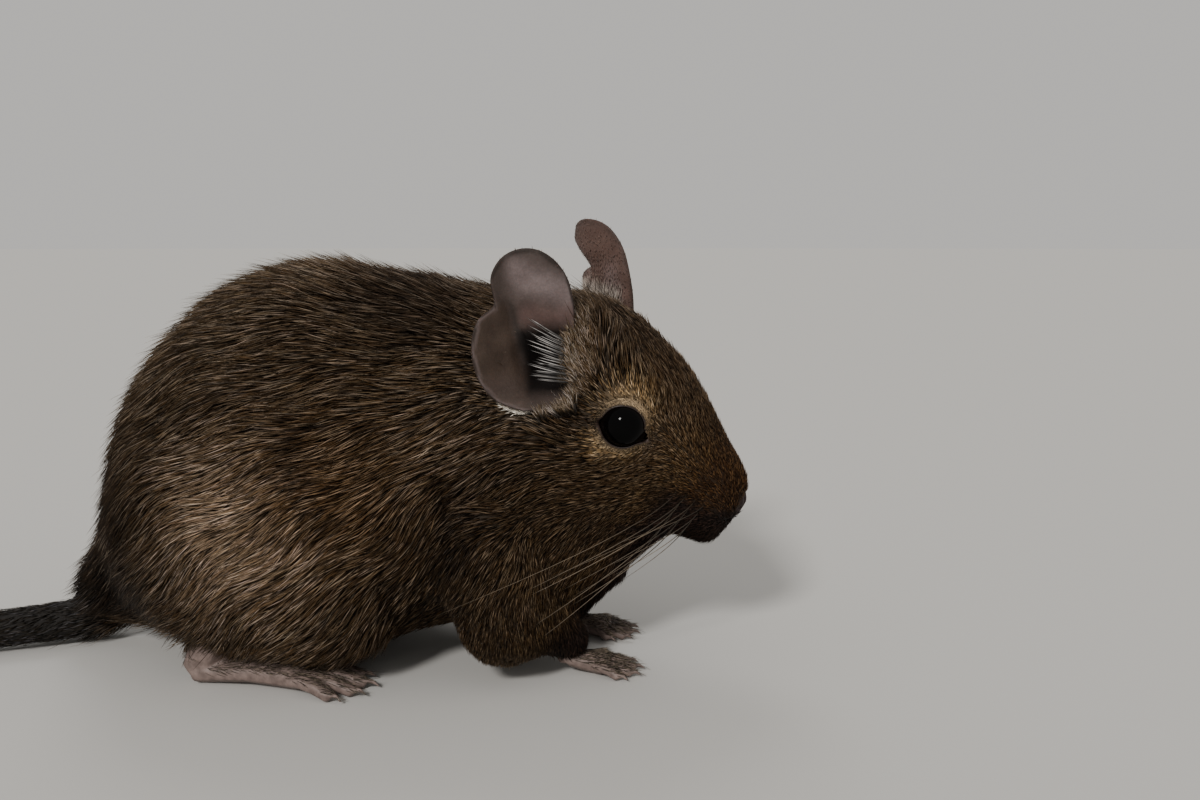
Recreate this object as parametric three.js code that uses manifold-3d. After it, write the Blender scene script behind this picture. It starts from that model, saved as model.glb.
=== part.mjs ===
// A degu at life size, crouched on all fours with its head lowered and turned a little to its right.
// Millimetres, +Z up. +X is the way the body faces and +Y is the animal's left.
// The sizes include the coat. The animal stands on the plane z = 0, with the middle of its box over the origin.
import * as THREE from "three";
import { mergeVertices } from "three/addons/utils/BufferGeometryUtils.js";
import Module from "manifold-3d";

const wasm = await Module();
wasm.setup();

// Driving dimensions
const GAP = 0.3; // clearance between touching pieces
const BELLY_HEIGHT = 1.2; // the hem of the coat over the floor
const EYE_RADIUS = 4;
const EYE_DEPTH = 2.1; // the middle of the ball under the surface of the head
const LID_RADIUS = 4.1; // from the middle of the eye to the middle of the lid
const LID_WIDTH = 1; // half the width of a lid
const EAR_DEPTH = 6.4; // the rim of the ear over the bottom of its canal
const EAR_WALL = 0.9; // thickness near the root
const EAR_EDGE = 0.55; // thickness at the rim
const LEFT_EAR_DROP = 1.2; // the left ear is carried a little lower
const TAIL_LOCKS = 20; // locks of the brush
const LOCK_LENGTH = 13;
const LOCK_SPREAD = 0.21; // how far a tip stands off, as a share of the length
const LOCK_WIDTH = 3;
const LOCK_THICKNESS = 0.9;

const RAD = Math.PI / 180;
const SIDES = [
  { side: -1, name: "right" },
  { side: 1, name: "left" },
];
const at = (x, y, z) => new THREE.Vector3(x, y, z);
const mix = THREE.MathUtils.lerp;
const clamp = THREE.MathUtils.clamp;
const smooth = THREE.MathUtils.smoothstep;
const both = (make) => SIDES.map(({ side }) => make(side));

// Colours and finishes
const finish = (color, roughness) => new THREE.MeshStandardMaterial({ color, roughness, metalness: 0 });
const coat = finish(0x4a3b2c, 0.85);
const earSkin = finish(0x6a5a5c, 0.6);
const eyeGloss = finish(0x060505, 0.05);
const footSkin = finish(0x8a7468, 0.7);
const tailCoat = finish(0x2c2a2c, 0.85);

// Fields: each takes a point and gives a length that is negative inside the form.
function ellipsoid(centre, radii, turn = new THREE.Euler()) {
  const back = new THREE.Quaternion().setFromEuler(turn).invert();
  return (point) => {
    const q = point.clone().sub(centre).applyQuaternion(back).divide(radii);
    const level = q.length();
    const slope = q.divide(radii).length();
    return slope > 1e-9 ? (level * (level - 1)) / slope : -Math.min(radii.x, radii.y, radii.z);
  };
}

function taper(start, end, startRadius, endRadius) {
  const run = end.clone().sub(start);
  return (point) => {
    const along = clamp(point.clone().sub(start).dot(run) / run.lengthSq(), 0, 1);
    return point.distanceTo(start.clone().addScaledVector(run, along)) - mix(startRadius, endRadius, along);
  };
}

// Joins forms with a fillet about `fillet` wide.
function blend(fillet, forms) {
  return (point) =>
    forms.reduce((joined, form) => {
      const value = form(point);
      const near = Math.max(fillet - Math.abs(joined - value), 0) / fillet;
      return Math.min(joined, value) - (near * near * fillet) / 4;
    }, 1e3);
}

function inFrame(pose, form) {
  const back = pose.clone().invert();
  return (point) => form(point.clone().applyMatrix4(back));
}

// The point where a ray from inside a field first leaves it.
function surfacePoint(form, origin, ray, reach = 60) {
  const value = (t) => form(origin.clone().addScaledVector(ray, t));
  let inside = 0;
  let outside = reach;
  for (let t = 0; t < reach; ) {
    const gap = value(t);
    if (gap > 0) {
      outside = t;
      break;
    }
    inside = t;
    t += Math.max(-gap * 0.7, 0.25);
  }
  for (let step = 0; step < 18; step++) {
    const middle = (inside + outside) / 2;
    if (value(middle) > 0) outside = middle;
    else inside = middle;
  }
  return origin.clone().addScaledVector(ray, (inside + outside) / 2);
}

// The way out of a field at a point on its surface.
function outwardAt(form, point) {
  const slope = (x, y, z) => form(point.clone().add(at(x, y, z))) - form(point.clone().sub(at(x, y, z)));
  return at(slope(0.1, 0, 0), slope(0, 0.1, 0), slope(0, 0, 0.1)).normalize();
}

// The surface of a field, found by rays that leave a straight core from `from` to `to`.
function skinOf(form, from, to, { around, along, caps, side = at(0, 1, 0), grow = 0 }) {
  const grown = (point) => form(point) - grow;
  const axis = to.clone().sub(from);
  const length = axis.length();
  axis.normalize();
  const across = side.clone().addScaledVector(axis, -side.dot(axis)).normalize();
  const turn = new THREE.Matrix4().makeBasis(across, axis, across.clone().cross(axis));
  const geometry = new THREE.CapsuleGeometry(1, length, caps, around, along);
  const position = geometry.attributes.position;
  for (let i = 0; i < position.count; i++) {
    const vertex = at(0, 0, 0).fromBufferAttribute(position, i);
    const height = clamp(vertex.y, -length / 2, length / 2);
    const ray = vertex.sub(at(0, height, 0)).normalize().applyMatrix4(turn);
    const origin = from.clone().addScaledVector(axis, height + length / 2);
    const point = surfacePoint(grown, origin, ray);
    position.setXYZ(i, point.x, point.y, point.z);
  }
  return solid(geometry);
}

// Joins rings of points, each listed the same way round, and closes both ends on a tip.
function ringed(rings, firstTip, lastTip) {
  const sides = rings[0].length;
  const vertices = [...rings.flat(), firstTip, lastTip];
  const first = vertices.length - 2;
  const faces = [];
  const corner = (ring, k) => ring * sides + (k % sides);
  for (let k = 0; k < sides; k++) {
    for (let ring = 0; ring < rings.length - 1; ring++) {
      const [a, b, c, d] = [corner(ring, k), corner(ring, k + 1), corner(ring + 1, k), corner(ring + 1, k + 1)];
      faces.push(a, b, c, b, d, c);
    }
    faces.push(first, corner(0, k + 1), corner(0, k));
    faces.push(first + 1, corner(rings.length - 1, k), corner(rings.length - 1, k + 1));
  }
  return solid(new THREE.BufferGeometry().setFromPoints(vertices).setIndex(faces));
}

// A closed round body along `points`, each with its radius, flattened towards `up` by `flat`.
function limb(points, radii, { sides = 8, rings = 6, flat = 1, up = at(0, 0, 1), grow = 0 } = {}) {
  const path = new THREE.CatmullRomCurve3(points);
  const last = radii.length - 1;
  const radiusAt = (share) => {
    const step = Math.min(Math.floor(share * last), last - 1);
    return mix(radii[step], radii[step + 1], share * last - step) + grow;
  };
  const loops = [];
  for (let ring = 0; ring <= rings; ring++) {
    const share = ring / rings;
    const tangent = path.getTangent(share);
    const across = tangent.clone().cross(up).normalize();
    const rise = across.clone().cross(tangent).normalize();
    const radius = radiusAt(share);
    const loop = [];
    for (let k = 0; k < sides; k++) {
      const angle = (2 * Math.PI * (k + 0.5)) / sides;
      const corner = path.getPoint(share).addScaledVector(across, radius * Math.cos(angle));
      loop.push(corner.addScaledVector(rise, radius * flat * Math.sin(angle)));
    }
    loops.push(loop);
  }
  const tip = (share, out) => path.getPoint(share).addScaledVector(path.getTangent(share), out * radiusAt(share) * 0.5);
  return ringed(loops, tip(0, -1), tip(1, 1));
}

// Solids
function solid(geometry) {
  const bare = geometry.clone();
  bare.deleteAttribute("normal");
  bare.deleteAttribute("uv");
  const merged = mergeVertices(bare, 1e-3);
  const corners = merged.index.array;
  const kept = [];
  for (let i = 0; i < corners.length; i += 3) {
    const [a, b, c] = [corners[i], corners[i + 1], corners[i + 2]];
    if (a !== b && b !== c && a !== c) kept.push([a, b, c]);
  }
  const vertProperties = new Float32Array(merged.attributes.position.array);
  const made = (faces) =>
    new wasm.Manifold(new wasm.Mesh({ numProp: 3, vertProperties, triVerts: new Uint32Array(faces.flat()) }));
  const first = made(kept);
  return first.volume() > 0 ? first : made(kept.map(([a, b, c]) => [a, c, b]));
}

const join = (solids) => solids.reduce((whole, piece) => whole.add(piece));
const cut = (body, tools) => tools.reduce((rest, tool) => rest.subtract(tool), body);
const largest = (body) => body.decompose().reduce((a, b) => (a.volume() > b.volume() ? a : b));

// A block that fills the side of a plane that `normal` points to.
function halfSpace(point, normal, size = 600) {
  const block = new THREE.BoxGeometry(size, size, size).translate(0, 0, size / 2);
  const turn = new THREE.Quaternion().setFromUnitVectors(at(0, 0, 1), normal.clone().normalize());
  return solid(block.applyQuaternion(turn).translate(point.x, point.y, point.z));
}

function ball(centre, radii, turn = new THREE.Quaternion(), [around, down] = [16, 10]) {
  const sphere = new THREE.SphereGeometry(1, around, down).scale(radii.x, radii.y, radii.z);
  return solid(sphere.applyQuaternion(turn).translate(centre.x, centre.y, centre.z));
}

// A joint parts two pieces at a plane, half the clearance on each side.
const joint = (point, normal) => ({ point, normal: normal.normalize() });
const behind = ({ point, normal }) => halfSpace(point.clone().addScaledVector(normal, -GAP / 2), normal);
const ahead = ({ point, normal }) => halfSpace(point.clone().addScaledVector(normal, GAP / 2), normal.clone().negate());
const floor = halfSpace(at(0, 0, 0), at(0, 0, -1));
const hem = halfSpace(at(0, 0, BELLY_HEIGHT), at(0, 0, -1));

// Head, in its own frame: x forward to the nose tip at 0, y to the left, z up.
const headTurn = new THREE.Quaternion().setFromEuler(new THREE.Euler(15 * RAD, 37 * RAD, -13 * RAD, "ZYX"));
const headPose = new THREE.Matrix4().compose(at(23, -9, 26.5), headTurn, at(1, 1, 1));
const onHead = (x, y, z) => at(x, y, z).applyMatrix4(headPose);
const headAxis = (x, y, z) => at(x, y, z).applyQuaternion(headTurn);

const headForm = inFrame(
  headPose,
  blend(5, [
    ellipsoid(at(-33, 0, 1), at(17, 13.5, 14)), // braincase
    ellipsoid(at(-21, 0, 3.5), at(13, 10.5, 9)), // brow
    taper(at(-23, 0, -0.5), at(-7, 0, -0.9), 11.4, 6.1), // muzzle
    ellipsoid(at(-4.8, 0, -0.8), at(3.9, 4.2, 4.8)), // nose
    ellipsoid(at(-11.5, 0, 2), at(9, 6.4, 4.9)), // bridge
    ...both((side) => ellipsoid(at(-10, side * 3.9, -3.2), at(6.5, 4.4, 4.8))), // whisker pads
    ...both((side) => ellipsoid(at(-24, side * 6.9, -4.5), at(12.5, 7.4, 8.8))), // cheeks
    taper(at(-28, 0, -7), at(-10.5, 0, -7.8), 8, 3.2), // jaw
  ]),
);

// Trunk, neck and haunches
const torsoForms = [
  ellipsoid(at(-46.5, 0, 37), at(34, 26, 32)), // ribs and back
  ellipsoid(at(-61, 0, 27), at(22.5, 24.5, 25)), // rump
  ellipsoid(at(-46, 0, 18), at(31, 22, 14.5)), // belly
  ellipsoid(at(-21, -2, 35), at(20, 19.5, 25)), // shoulders
  ellipsoid(at(-9, -4, 22), at(14.5, 14, 16)), // chest
  taper(at(-75, 1, 18), at(-90.5, 2.6, 6), 12.5, 5), // root of the tail
];
const neckForm = taper(at(-24, -2, 44), onHead(-32, 0, 1), 20, 14);
const throatForm = taper(at(-9, -4, 24), onHead(-26, 0, -6), 12.5, 7);
const haunchForms = both((side) =>
  blend(6, [
    ellipsoid(at(-58, side * 16.5, 24), at(21, 11.5, 19), new THREE.Euler(0, 20 * RAD, 0)),
    ellipsoid(at(-45, side * 19.5, 14), at(12.5, 8.5, 11)),
  ]),
);
const bodyForm = blend(9, [...torsoForms, neckForm, throatForm, headForm]);
const trunkForm = blend(5, [bodyForm, ...haunchForms]);

const nape = joint(at(-4.5, -3, 33.5), at(-0.865, 0.11, -0.49));
const withers = joint(at(-25, -2, 36.5), at(-0.908, 0.05, -0.415));
const trunkSkin = skinOf(trunkForm, at(-62, 0, 31), at(-28, -2, 35), { around: 32, along: 7, caps: 6 });
const neckSkin = skinOf(bodyForm, at(-26, -2, 35), at(-8, -3, 38), { around: 28, along: 4, caps: 5 });
const headSkin = skinOf(bodyForm, onHead(-34, 0, 0.5), onHead(-9, 0, -1), {
  around: 30,
  along: 10,
  caps: 6,
  side: headAxis(0, 1, 0),
});

// Haunches are parted from the trunk by a bowl, so the skin runs on over the seam.
const haunchBowl = (side, grow = 0) =>
  ball(
    at(-58, side * 31, 21),
    at(24 + grow, 16 + grow, 20.5 + grow),
    new THREE.Quaternion().setFromEuler(new THREE.Euler(0, 16 * RAD, 0)),
    [20, 12],
  );

// Forelegs, from the shoulder in the chest to the wrist
function foreleg(side, grow = 0) {
  const shoulder = at(-19, side * 12 - 3, 33);
  const elbow = at(-17, side * 14.5 - 3, 18);
  const wrist = at(-5.5, side * 9.5 - 4, 6);
  const form = blend(5, [taper(shoulder, elbow, 9, 7.5), taper(elbow, wrist, 7.5, 3.8)]);
  const core = [shoulder.lerp(elbow, 0.5), elbow.clone().lerp(wrist, 0.8)];
  return skinOf(form, ...core, { around: 14, along: 6, caps: 4, grow });
}

// Feet: a flat sole, toes spread from it in a fan, and a claw on each toe
function foot({ heel, ball: palm, spread, toes, width, height, toeRadius, claw, ankle, grow = 0 }) {
  const ahead = palm.clone().sub(heel).setZ(0).normalize();
  const across = at(-ahead.y, ahead.x, 0);
  const flat = height / width;
  const pieces = [
    limb([heel, heel.clone().lerp(palm, 0.5).setZ(palm.z + 0.3), palm], [width * 0.36, width * 0.4, width * 0.5], {
      sides: 8,
      rings: 4,
      flat: flat * 1.25,
      grow,
    }),
    limb([ankle.from, ankle.from.clone().lerp(heel, 0.55), heel], [ankle.radius, ankle.radius * 0.8, width * 0.34], {
      rings: 3,
      up: at(1, 0, 0),
      grow,
    }),
  ];
  for (const [i, length] of toes.entries()) {
    const place = (i - (toes.length - 1) / 2) / (toes.length - 1);
    const angle = place * spread;
    const way = ahead.clone().multiplyScalar(Math.cos(angle)).addScaledVector(across, Math.sin(angle));
    const root = palm.clone().addScaledVector(across, place * width * 0.72).addScaledVector(ahead, -1.5);
    const knuckle = root.clone().addScaledVector(way, length * 0.5).setZ(toeRadius * 1.75);
    const tip = root.clone().addScaledVector(way, length).setZ(toeRadius * 0.7);
    pieces.push(limb([root, knuckle, tip], [toeRadius, toeRadius * 1.05, toeRadius * 0.85], { sides: 6, rings: 3, grow }));
    const nail = tip.clone().addScaledVector(way, claw).setZ(0.45);
    const arch = tip.clone().lerp(nail, 0.5).setZ(toeRadius * 1.15);
    pieces.push(limb([tip.clone().lerp(root, 0.12), arch, nail], [0.62, 0.5, 0.22], { sides: 4, rings: 2, grow }));
  }
  return join(pieces);
}

const hindFoot = (side, grow = 0) =>
  foot({
    heel: at(-66, side * 17, 1.7),
    ball: at(-48, side * 19.5, 2.1),
    ankle: { from: at(-60, side * 17, 13), radius: 4.6 },
    toes: [8.5, 11, 11.5, 10, 6.5].map((_, i, all) => all[side > 0 ? i : all.length - 1 - i]).reverse(),
    spread: 42 * RAD,
    width: 8.6,
    height: 4.2,
    toeRadius: 1.25,
    claw: 2.6,
    grow,
  });

const foreFoot = (side, grow = 0) =>
  foot({
    heel: at(-5, side * 9.4 - 4, 2.6),
    ball: at(0.6, side * 9 - 4.4, 1.6),
    ankle: { from: at(-7.6, side * 9.8 - 4, 7.8), radius: 2.6 },
    toes: [4.4, 6.2, 6.6, 5.8, 3.2].map((_, i, all) => all[side > 0 ? i : all.length - 1 - i]).reverse(),
    spread: 58 * RAD,
    width: 6.2,
    height: 3.4,
    toeRadius: 0.95,
    claw: 1.9,
    grow,
  });

// Tail: laid on the floor in a shallow double curve, with a brush of locks at its end
const tailPath = [
  at(-80, 4.2, 9),
  at(-91, 2.4, 4.6),
  at(-106, -3.8, 3.9),
  at(-124, -10.5, 3.5),
  at(-144, -14.5, 3.1),
  at(-164, -13.5, 2.7),
  at(-182, -7.5, 2.2),
];
const tailRadii = [5, 4.7, 4.15, 3.7, 3.3, 2.9, 1.6];
const tailCurve = new THREE.CatmullRomCurve3(tailPath);
const tail = (grow = 0) => limb(tailPath, tailRadii, { sides: 12, rings: 24, grow });
const tailJoint = (share) => joint(tailCurve.getPoint(share), tailCurve.getTangent(share));
const [tailFirst, tailSecond] = [tailJoint(0.36), tailJoint(0.66)];

// A flat lock that tapers to a point and bends back towards the tail's own line.
function lock(root, out, way, length) {
  const across = out.clone().cross(way).normalize();
  const rings = [0, 0.45, 0.8].map((share) => {
    const centre = root.clone().addScaledVector(way, length * share);
    centre.addScaledVector(out, length * (LOCK_SPREAD * 1.6 * share - LOCK_SPREAD * 0.6 * share * share));
    const width = LOCK_WIDTH * (1 - 0.75 * share * share);
    const half = LOCK_THICKNESS * (1 - 0.4 * share);
    return [
      centre.clone().addScaledVector(across, width / 2),
      centre.clone().addScaledVector(out, half / 2),
      centre.clone().addScaledVector(across, -width / 2),
      centre.clone().addScaledVector(out, -half / 2),
    ];
  });
  const tip = root.clone().addScaledVector(way, length).addScaledVector(out, length * LOCK_SPREAD);
  return ringed(rings, root.clone().addScaledVector(way, -0.6), tip);
}

function brush() {
  let seed = 7;
  const random = () => {
    seed = (seed * 16807) % 2147483647;
    return seed / 2147483647;
  };
  const locks = [];
  for (let i = 0; i < TAIL_LOCKS; i++) {
    const share = mix(0.82, 1, i / (TAIL_LOCKS - 1));
    const way = tailCurve.getTangent(share);
    const angle = i * 2.4 + random() * 0.4;
    const level = at(-way.y, way.x, 0).normalize();
    const out = level.multiplyScalar(Math.cos(angle)).addScaledVector(at(0, 0, 1), Math.sin(angle) * 0.8).normalize();
    const root = tailCurve.getPoint(share).addScaledVector(out, 0.6);
    const length = LOCK_LENGTH * (0.8 + 0.35 * random());
    const rise = clamp((LOCK_THICKNESS - root.z - out.z * length * LOCK_SPREAD) / length, 0, 1);
    locks.push(lock(root, out, way.clone().addScaledVector(at(0, 0, 1), rise).normalize(), length));
  }
  return locks;
}

// Eyes and lids
const eyeSpot = (side) => surfacePoint(bodyForm, onHead(-24, side * 4, 4.4), headAxis(0.15, side * 0.94, 0.28).normalize());
const eyeAxis = (side) => outwardAt(bodyForm, eyeSpot(side));
const eyeCentre = (side) => eyeSpot(side).addScaledVector(eyeAxis(side), -EYE_DEPTH);
const eyeball = (side, grow = 0) =>
  ball(eyeCentre(side), at(1, 1, 1).multiplyScalar(EYE_RADIUS + grow), headTurn, [18, 10]);

// The rim of the lids is an almond on the skin, with its corners towards the nose and the ear.
function lids(side) {
  const centre = eyeCentre(side);
  const axis = eyeAxis(side);
  const forward = headAxis(1, 0, -0.25).addScaledVector(axis, -headAxis(1, 0, -0.25).dot(axis)).normalize();
  const upward = forward.clone().cross(axis).multiplyScalar(-side).normalize();
  const steps = 20;
  const sides = 6;
  const vertices = [];
  const faces = [];
  for (let i = 0; i < steps; i++) {
    const angle = (2 * Math.PI * i) / steps;
    const corner = 1 + 0.16 * Math.abs(Math.cos(angle)) ** 6;
    const out = forward.clone().multiplyScalar(Math.cos(angle)).addScaledVector(upward, Math.sin(angle) * 0.93);
    const middle = surfacePoint(bodyForm, centre.clone().addScaledVector(out, LID_RADIUS * corner), axis, 9);
    middle.addScaledVector(axis, -0.15);
    for (let k = 0; k < sides; k++) {
      const round = (2 * Math.PI * k) / sides;
      const point = middle.clone().addScaledVector(out, LID_WIDTH * Math.cos(round));
      vertices.push(point.addScaledVector(axis, LID_WIDTH * 0.8 * Math.sin(round)));
      const [a, b] = [i * sides + k, i * sides + ((k + 1) % sides)];
      const [c, d] = [a, b].map((corner) => (corner + sides) % (steps * sides));
      faces.push(a, b, c, b, d, c);
    }
  }
  return solid(new THREE.BufferGeometry().setFromPoints(vertices).setIndex(faces));
}

// Nose and mouth: cuts of about 0.5 mm in the skin
const noseCuts = () => {
  const cuts = both((side) => {
    const middle = surfacePoint(headForm, onHead(-5, 0, 0), headAxis(0.86, side * 0.46, 0.12).normalize());
    const turn = headTurn.clone().multiply(new THREE.Quaternion().setFromEuler(new THREE.Euler(side * -30 * RAD, 0, 0)));
    return ball(middle, at(1.1, 0.95, 0.45), turn, [12, 8]);
  });
  cuts.push(ball(onHead(-1.6, 0, -3.9), at(1.4, 0.28, 3.2), headTurn, [14, 10])); // groove of the upper lip
  const bite = headTurn.clone().multiply(new THREE.Quaternion().setFromEuler(new THREE.Euler(0, 6 * RAD, 0)));
  cuts.push(ball(onHead(-10, 0, -8), at(6.2, 5.6, 0.45), bite, [24, 8])); // mouth
  return cuts;
};
// Ears: a thin sheet from the canal out to the rim. Places on it are given rearward and upward from the canal.
const earRim = new THREE.CatmullRomCurve3(
  [
    [-4.1, -0.6],
    [-4.3, 4.8],
    [-4.2, 10.3],
    [-2.8, 15.9],
    [1.6, 19.4],
    [6.4, 18.6],
    [8.9, 14.6],
    [8, 10.6],
    [10.7, 8.6],
    [11.8, 3.8],
    [10.6, -1.2],
    [7.8, -4.4],
    [3.8, -5.9],
    [-0.4, -5.6],
    [-3.2, -3.8],
  ].map(([rear, rise]) => at(rear, rise, 0)),
  true,
);
const canal = at(0.2, 0.4, 0);
const earRoot = at(-37.3, 16, 7.4);
const earUp = at(-0.6, -0.2, 0.77);
const earOut = at(0.2, 0.9, 0.38);

function earFrame(side) {
  const mirror = at(1, side, 1);
  const up = earUp.clone().multiply(mirror).applyQuaternion(headTurn).normalize();
  const out = earOut.clone().multiply(mirror).applyQuaternion(headTurn);
  out.addScaledVector(up, -out.dot(up)).normalize();
  const rear = up.clone().cross(out).multiplyScalar(side).normalize();
  const root = earRoot.clone().multiply(mirror).applyMatrix4(headPose);
  if (side > 0) root.addScaledVector(up, -LEFT_EAR_DROP);
  return (place) =>
    root.clone().addScaledVector(rear, place.x).addScaledVector(up, place.y).addScaledVector(out, place.z);
}

function earPlace(turn, share) {
  const rim = earRim.getPoint(turn);
  const place = canal.clone().lerp(rim, share);
  const bowl = 1 - smooth(Math.hypot((place.x - canal.x) / 5.6, (place.y - canal.y) / 8), 0, 1.1);
  const dish = 1.5 * (1 - share * share);
  const lobe = 0.9 * smooth(place.y, 8, 20) + 2 * smooth(place.x, 4, 12) + 2.6 * smooth(-place.y, 0, 7.5);
  return place.setZ(-(EAR_DEPTH - 1.5) * bowl - dish + lobe);
}

function earNormal(turn, share) {
  const step = 1e-3;
  const alongRim = earPlace((turn + step) % 1, share).sub(earPlace((turn - step + 1) % 1, share));
  const outward = earPlace(turn, Math.min(share + step, 1)).sub(earPlace(turn, share - step));
  const normal = alongRim.cross(outward).normalize();
  if (normal.z < 0) normal.negate();
  return normal.lerp(at(0, 0, 1), 1 - smooth(share, 0.2, 0.7)).normalize();
}

// With `grow` it is the room that the ear takes up, its cup filled.
function ear(side, grow = 0) {
  const place = earFrame(side);
  const [around, spread] = [32, 6];
  const sheets = [1, -1].map((face) => {
    const rings = [];
    for (let ring = 1; ring <= spread; ring++) {
      const share = ring / spread;
      const loop = [];
      for (let k = 0; k < around; k++) {
        const turn = k / around;
        const point = earPlace(turn, share);
        const normal = earNormal(turn, Math.max(share, 0.02));
        const half = mix(EAR_WALL, EAR_EDGE, share) / 2;
        if (grow > 0 && face > 0) point.setZ(Math.max(point.z + half, 0) + 1.5);
        else point.addScaledVector(normal, face * (half + grow));
        if (grow > 0) {
          const out = earRim.getPoint(turn).sub(canal).normalize();
          point.addScaledVector(out, grow * 1.6 * share);
        }
        loop.push(place(point));
      }
      rings.push(loop);
    }
    return rings;
  });
  const middle = (face) => {
    const depth = earPlace(0, 0).z + face * (EAR_WALL / 2 + grow);
    return place(canal.clone().setZ(grow > 0 && face > 0 ? 1.5 : depth));
  };
  const [front, back] = sheets;
  return ringed([...front, ...back.reverse()], middle(1), middle(-1));
}

// Assembly
const group = new THREE.Group();
function show(name, body, material) {
  const mesh = largest(body).getMesh();
  const geometry = new THREE.BufferGeometry();
  geometry.setAttribute("position", new THREE.BufferAttribute(new Float32Array(mesh.vertProperties), 3));
  geometry.setIndex(new THREE.BufferAttribute(new Uint32Array(mesh.triVerts), 1));
  const piece = new THREE.Mesh(geometry, material);
  piece.name = name;
  group.add(piece);
}

const legs = both((side) => foreleg(side));
const legRooms = both((side) => foreleg(side, GAP));
const foreRooms = both((side) => foreFoot(side, GAP));
const hindRooms = both((side) => hindFoot(side, GAP));
const earRooms = both((side) => ear(side, GAP));

const torso = cut(trunkSkin, [
  ahead(withers),
  hem,
  ...both((side) => haunchBowl(side, GAP)),
  ...legRooms,
  ...hindRooms,
  tail(GAP),
]);
show("torso", torso, coat);
show("neck", cut(neckSkin, [behind(withers), ahead(nape), hem, ...legRooms, ...earRooms]), coat);

const face = cut(join([headSkin, ...both(lids)]), [
  behind(nape),
  ...both((side) => eyeball(side, GAP)),
  ...noseCuts(),
  ...legRooms,
  ...foreRooms,
  ...earRooms,
]);
show("head", face, coat);

for (const [i, { side, name }] of SIDES.entries()) {
  show("eye_" + name, eyeball(side), eyeGloss);
  show("ear_" + name, ear(side), earSkin);
  show("haunch_" + name, cut(trunkSkin.intersect(haunchBowl(side)), [hem, hindRooms[i]]), coat);
  show("hindfoot_" + name, cut(hindFoot(side), [floor]), footSkin);
  show("foreleg_" + name, cut(legs[i], [foreRooms[i], hem]), coat);
  show("forefoot_" + name, cut(foreFoot(side), [floor]), footSkin);
}

show("tail_base", cut(tail(), [behind(tailFirst), floor]), tailCoat);
show("tail_middle", cut(tail(), [ahead(tailFirst), behind(tailSecond), floor]), tailCoat);
show("tail_tip", cut(join([tail(), ...brush()]), [ahead(tailSecond), floor]), tailCoat);

// The middle of the box goes over the origin.
const box = new THREE.Box3().setFromObject(group);
group.position.set(-(box.min.x + box.max.x) / 2, -(box.min.y + box.max.y) / 2, 0);

export default group;
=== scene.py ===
import math

import bpy
import numpy as np
from mathutils import Euler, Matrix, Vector
from mathutils.bvhtree import BVHTree
from mathutils.kdtree import KDTree


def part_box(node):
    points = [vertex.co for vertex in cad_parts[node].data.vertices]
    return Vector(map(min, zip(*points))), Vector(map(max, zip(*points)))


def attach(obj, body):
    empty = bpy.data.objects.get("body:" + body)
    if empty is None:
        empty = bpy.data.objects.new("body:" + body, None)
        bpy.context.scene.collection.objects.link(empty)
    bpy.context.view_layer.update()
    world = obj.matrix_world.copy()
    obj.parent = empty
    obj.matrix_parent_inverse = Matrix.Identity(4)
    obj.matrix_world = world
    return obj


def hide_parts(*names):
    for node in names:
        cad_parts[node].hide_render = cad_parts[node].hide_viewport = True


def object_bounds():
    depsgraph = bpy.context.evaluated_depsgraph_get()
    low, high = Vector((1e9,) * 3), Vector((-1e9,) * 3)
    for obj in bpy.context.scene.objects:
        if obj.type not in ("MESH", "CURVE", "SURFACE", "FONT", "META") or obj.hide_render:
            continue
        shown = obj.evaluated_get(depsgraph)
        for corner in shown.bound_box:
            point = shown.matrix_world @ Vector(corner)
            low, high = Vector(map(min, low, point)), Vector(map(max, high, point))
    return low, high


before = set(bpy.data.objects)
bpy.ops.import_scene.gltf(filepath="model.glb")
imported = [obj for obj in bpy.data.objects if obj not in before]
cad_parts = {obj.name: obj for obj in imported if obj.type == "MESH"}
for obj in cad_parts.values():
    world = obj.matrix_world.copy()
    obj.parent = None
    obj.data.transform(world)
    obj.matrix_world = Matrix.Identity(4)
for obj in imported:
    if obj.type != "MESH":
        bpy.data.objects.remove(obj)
cad_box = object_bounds()
scene = bpy.context.scene
rng = np.random.default_rng(11)

# Places are given in millimetres from the point under the chest, with x towards the nose, y to the
# animal's left and z up. MIDDLE moves them into the frame of the solids.
MM = 0.001
MIDDLE = np.array([84.47, 0.03, 0.0])
SIDES = {"right": -1, "left": 1}

# Driving dimensions, in millimetres
SKIN_GRID = 0.62  # spacing of the points of the skin
FOOT_GRID = 0.3
SEAM_FILL = 0.25  # how far the solids are grown so that their seams close
TAIL_HAIR = 0.9  # depth of the hair on the tail
EYE_RADIUS = 4.0
LID_BAND = 0.75  # width of the lids from their opening to the fur
TUFT_CLUMP = 1.1  # distance between the middles of neighbouring clumps
CLUMP_PULL = 0.3
FLOOR_GAP = 0.3
FLOOR_GIVE = 0.04  # share of its depth that hair keeps below the floor's gap
SIDE_ROOM = 1.4  # how far hair may reach past the sides of the solids
WHISKER_SPAN = 29.2  # how far whiskers may reach to each side
GROUND_SHADE = 0.45  # tone of the skin under the coat, as a share of the coat's: partly the dark undercoat, partly painted shade in the gaps between hairs
OFBAKE_PATCH = 0.003  # share of the unwrap that one tuft takes

# Numbers of hairs, on each side where a piece has two
TUFTS = 116000
GUARD_HAIRS = 4600
LID_HAIRS = 1500
FRONT_FUR, CORNER_FUR, UNDER_FUR = 2500, 760, 560
CANAL_HAIRS = 38
VELVET_HAIRS = 2800
FOOT_HAIRS = {"hindfoot": 1700, "forefoot": 1000}
BRUSH_HAIRS = 3200
WHISKERS_A_SIDE = 13

# The head's own frame: x forward to the nose tip at 0, y to the left, z up
HEAD_TURN = np.array(Euler((math.radians(15), math.radians(37), math.radians(-13)), "XYZ").to_matrix())
NOSE_TIP = np.array([23.0, -9.0, 26.5])


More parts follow.
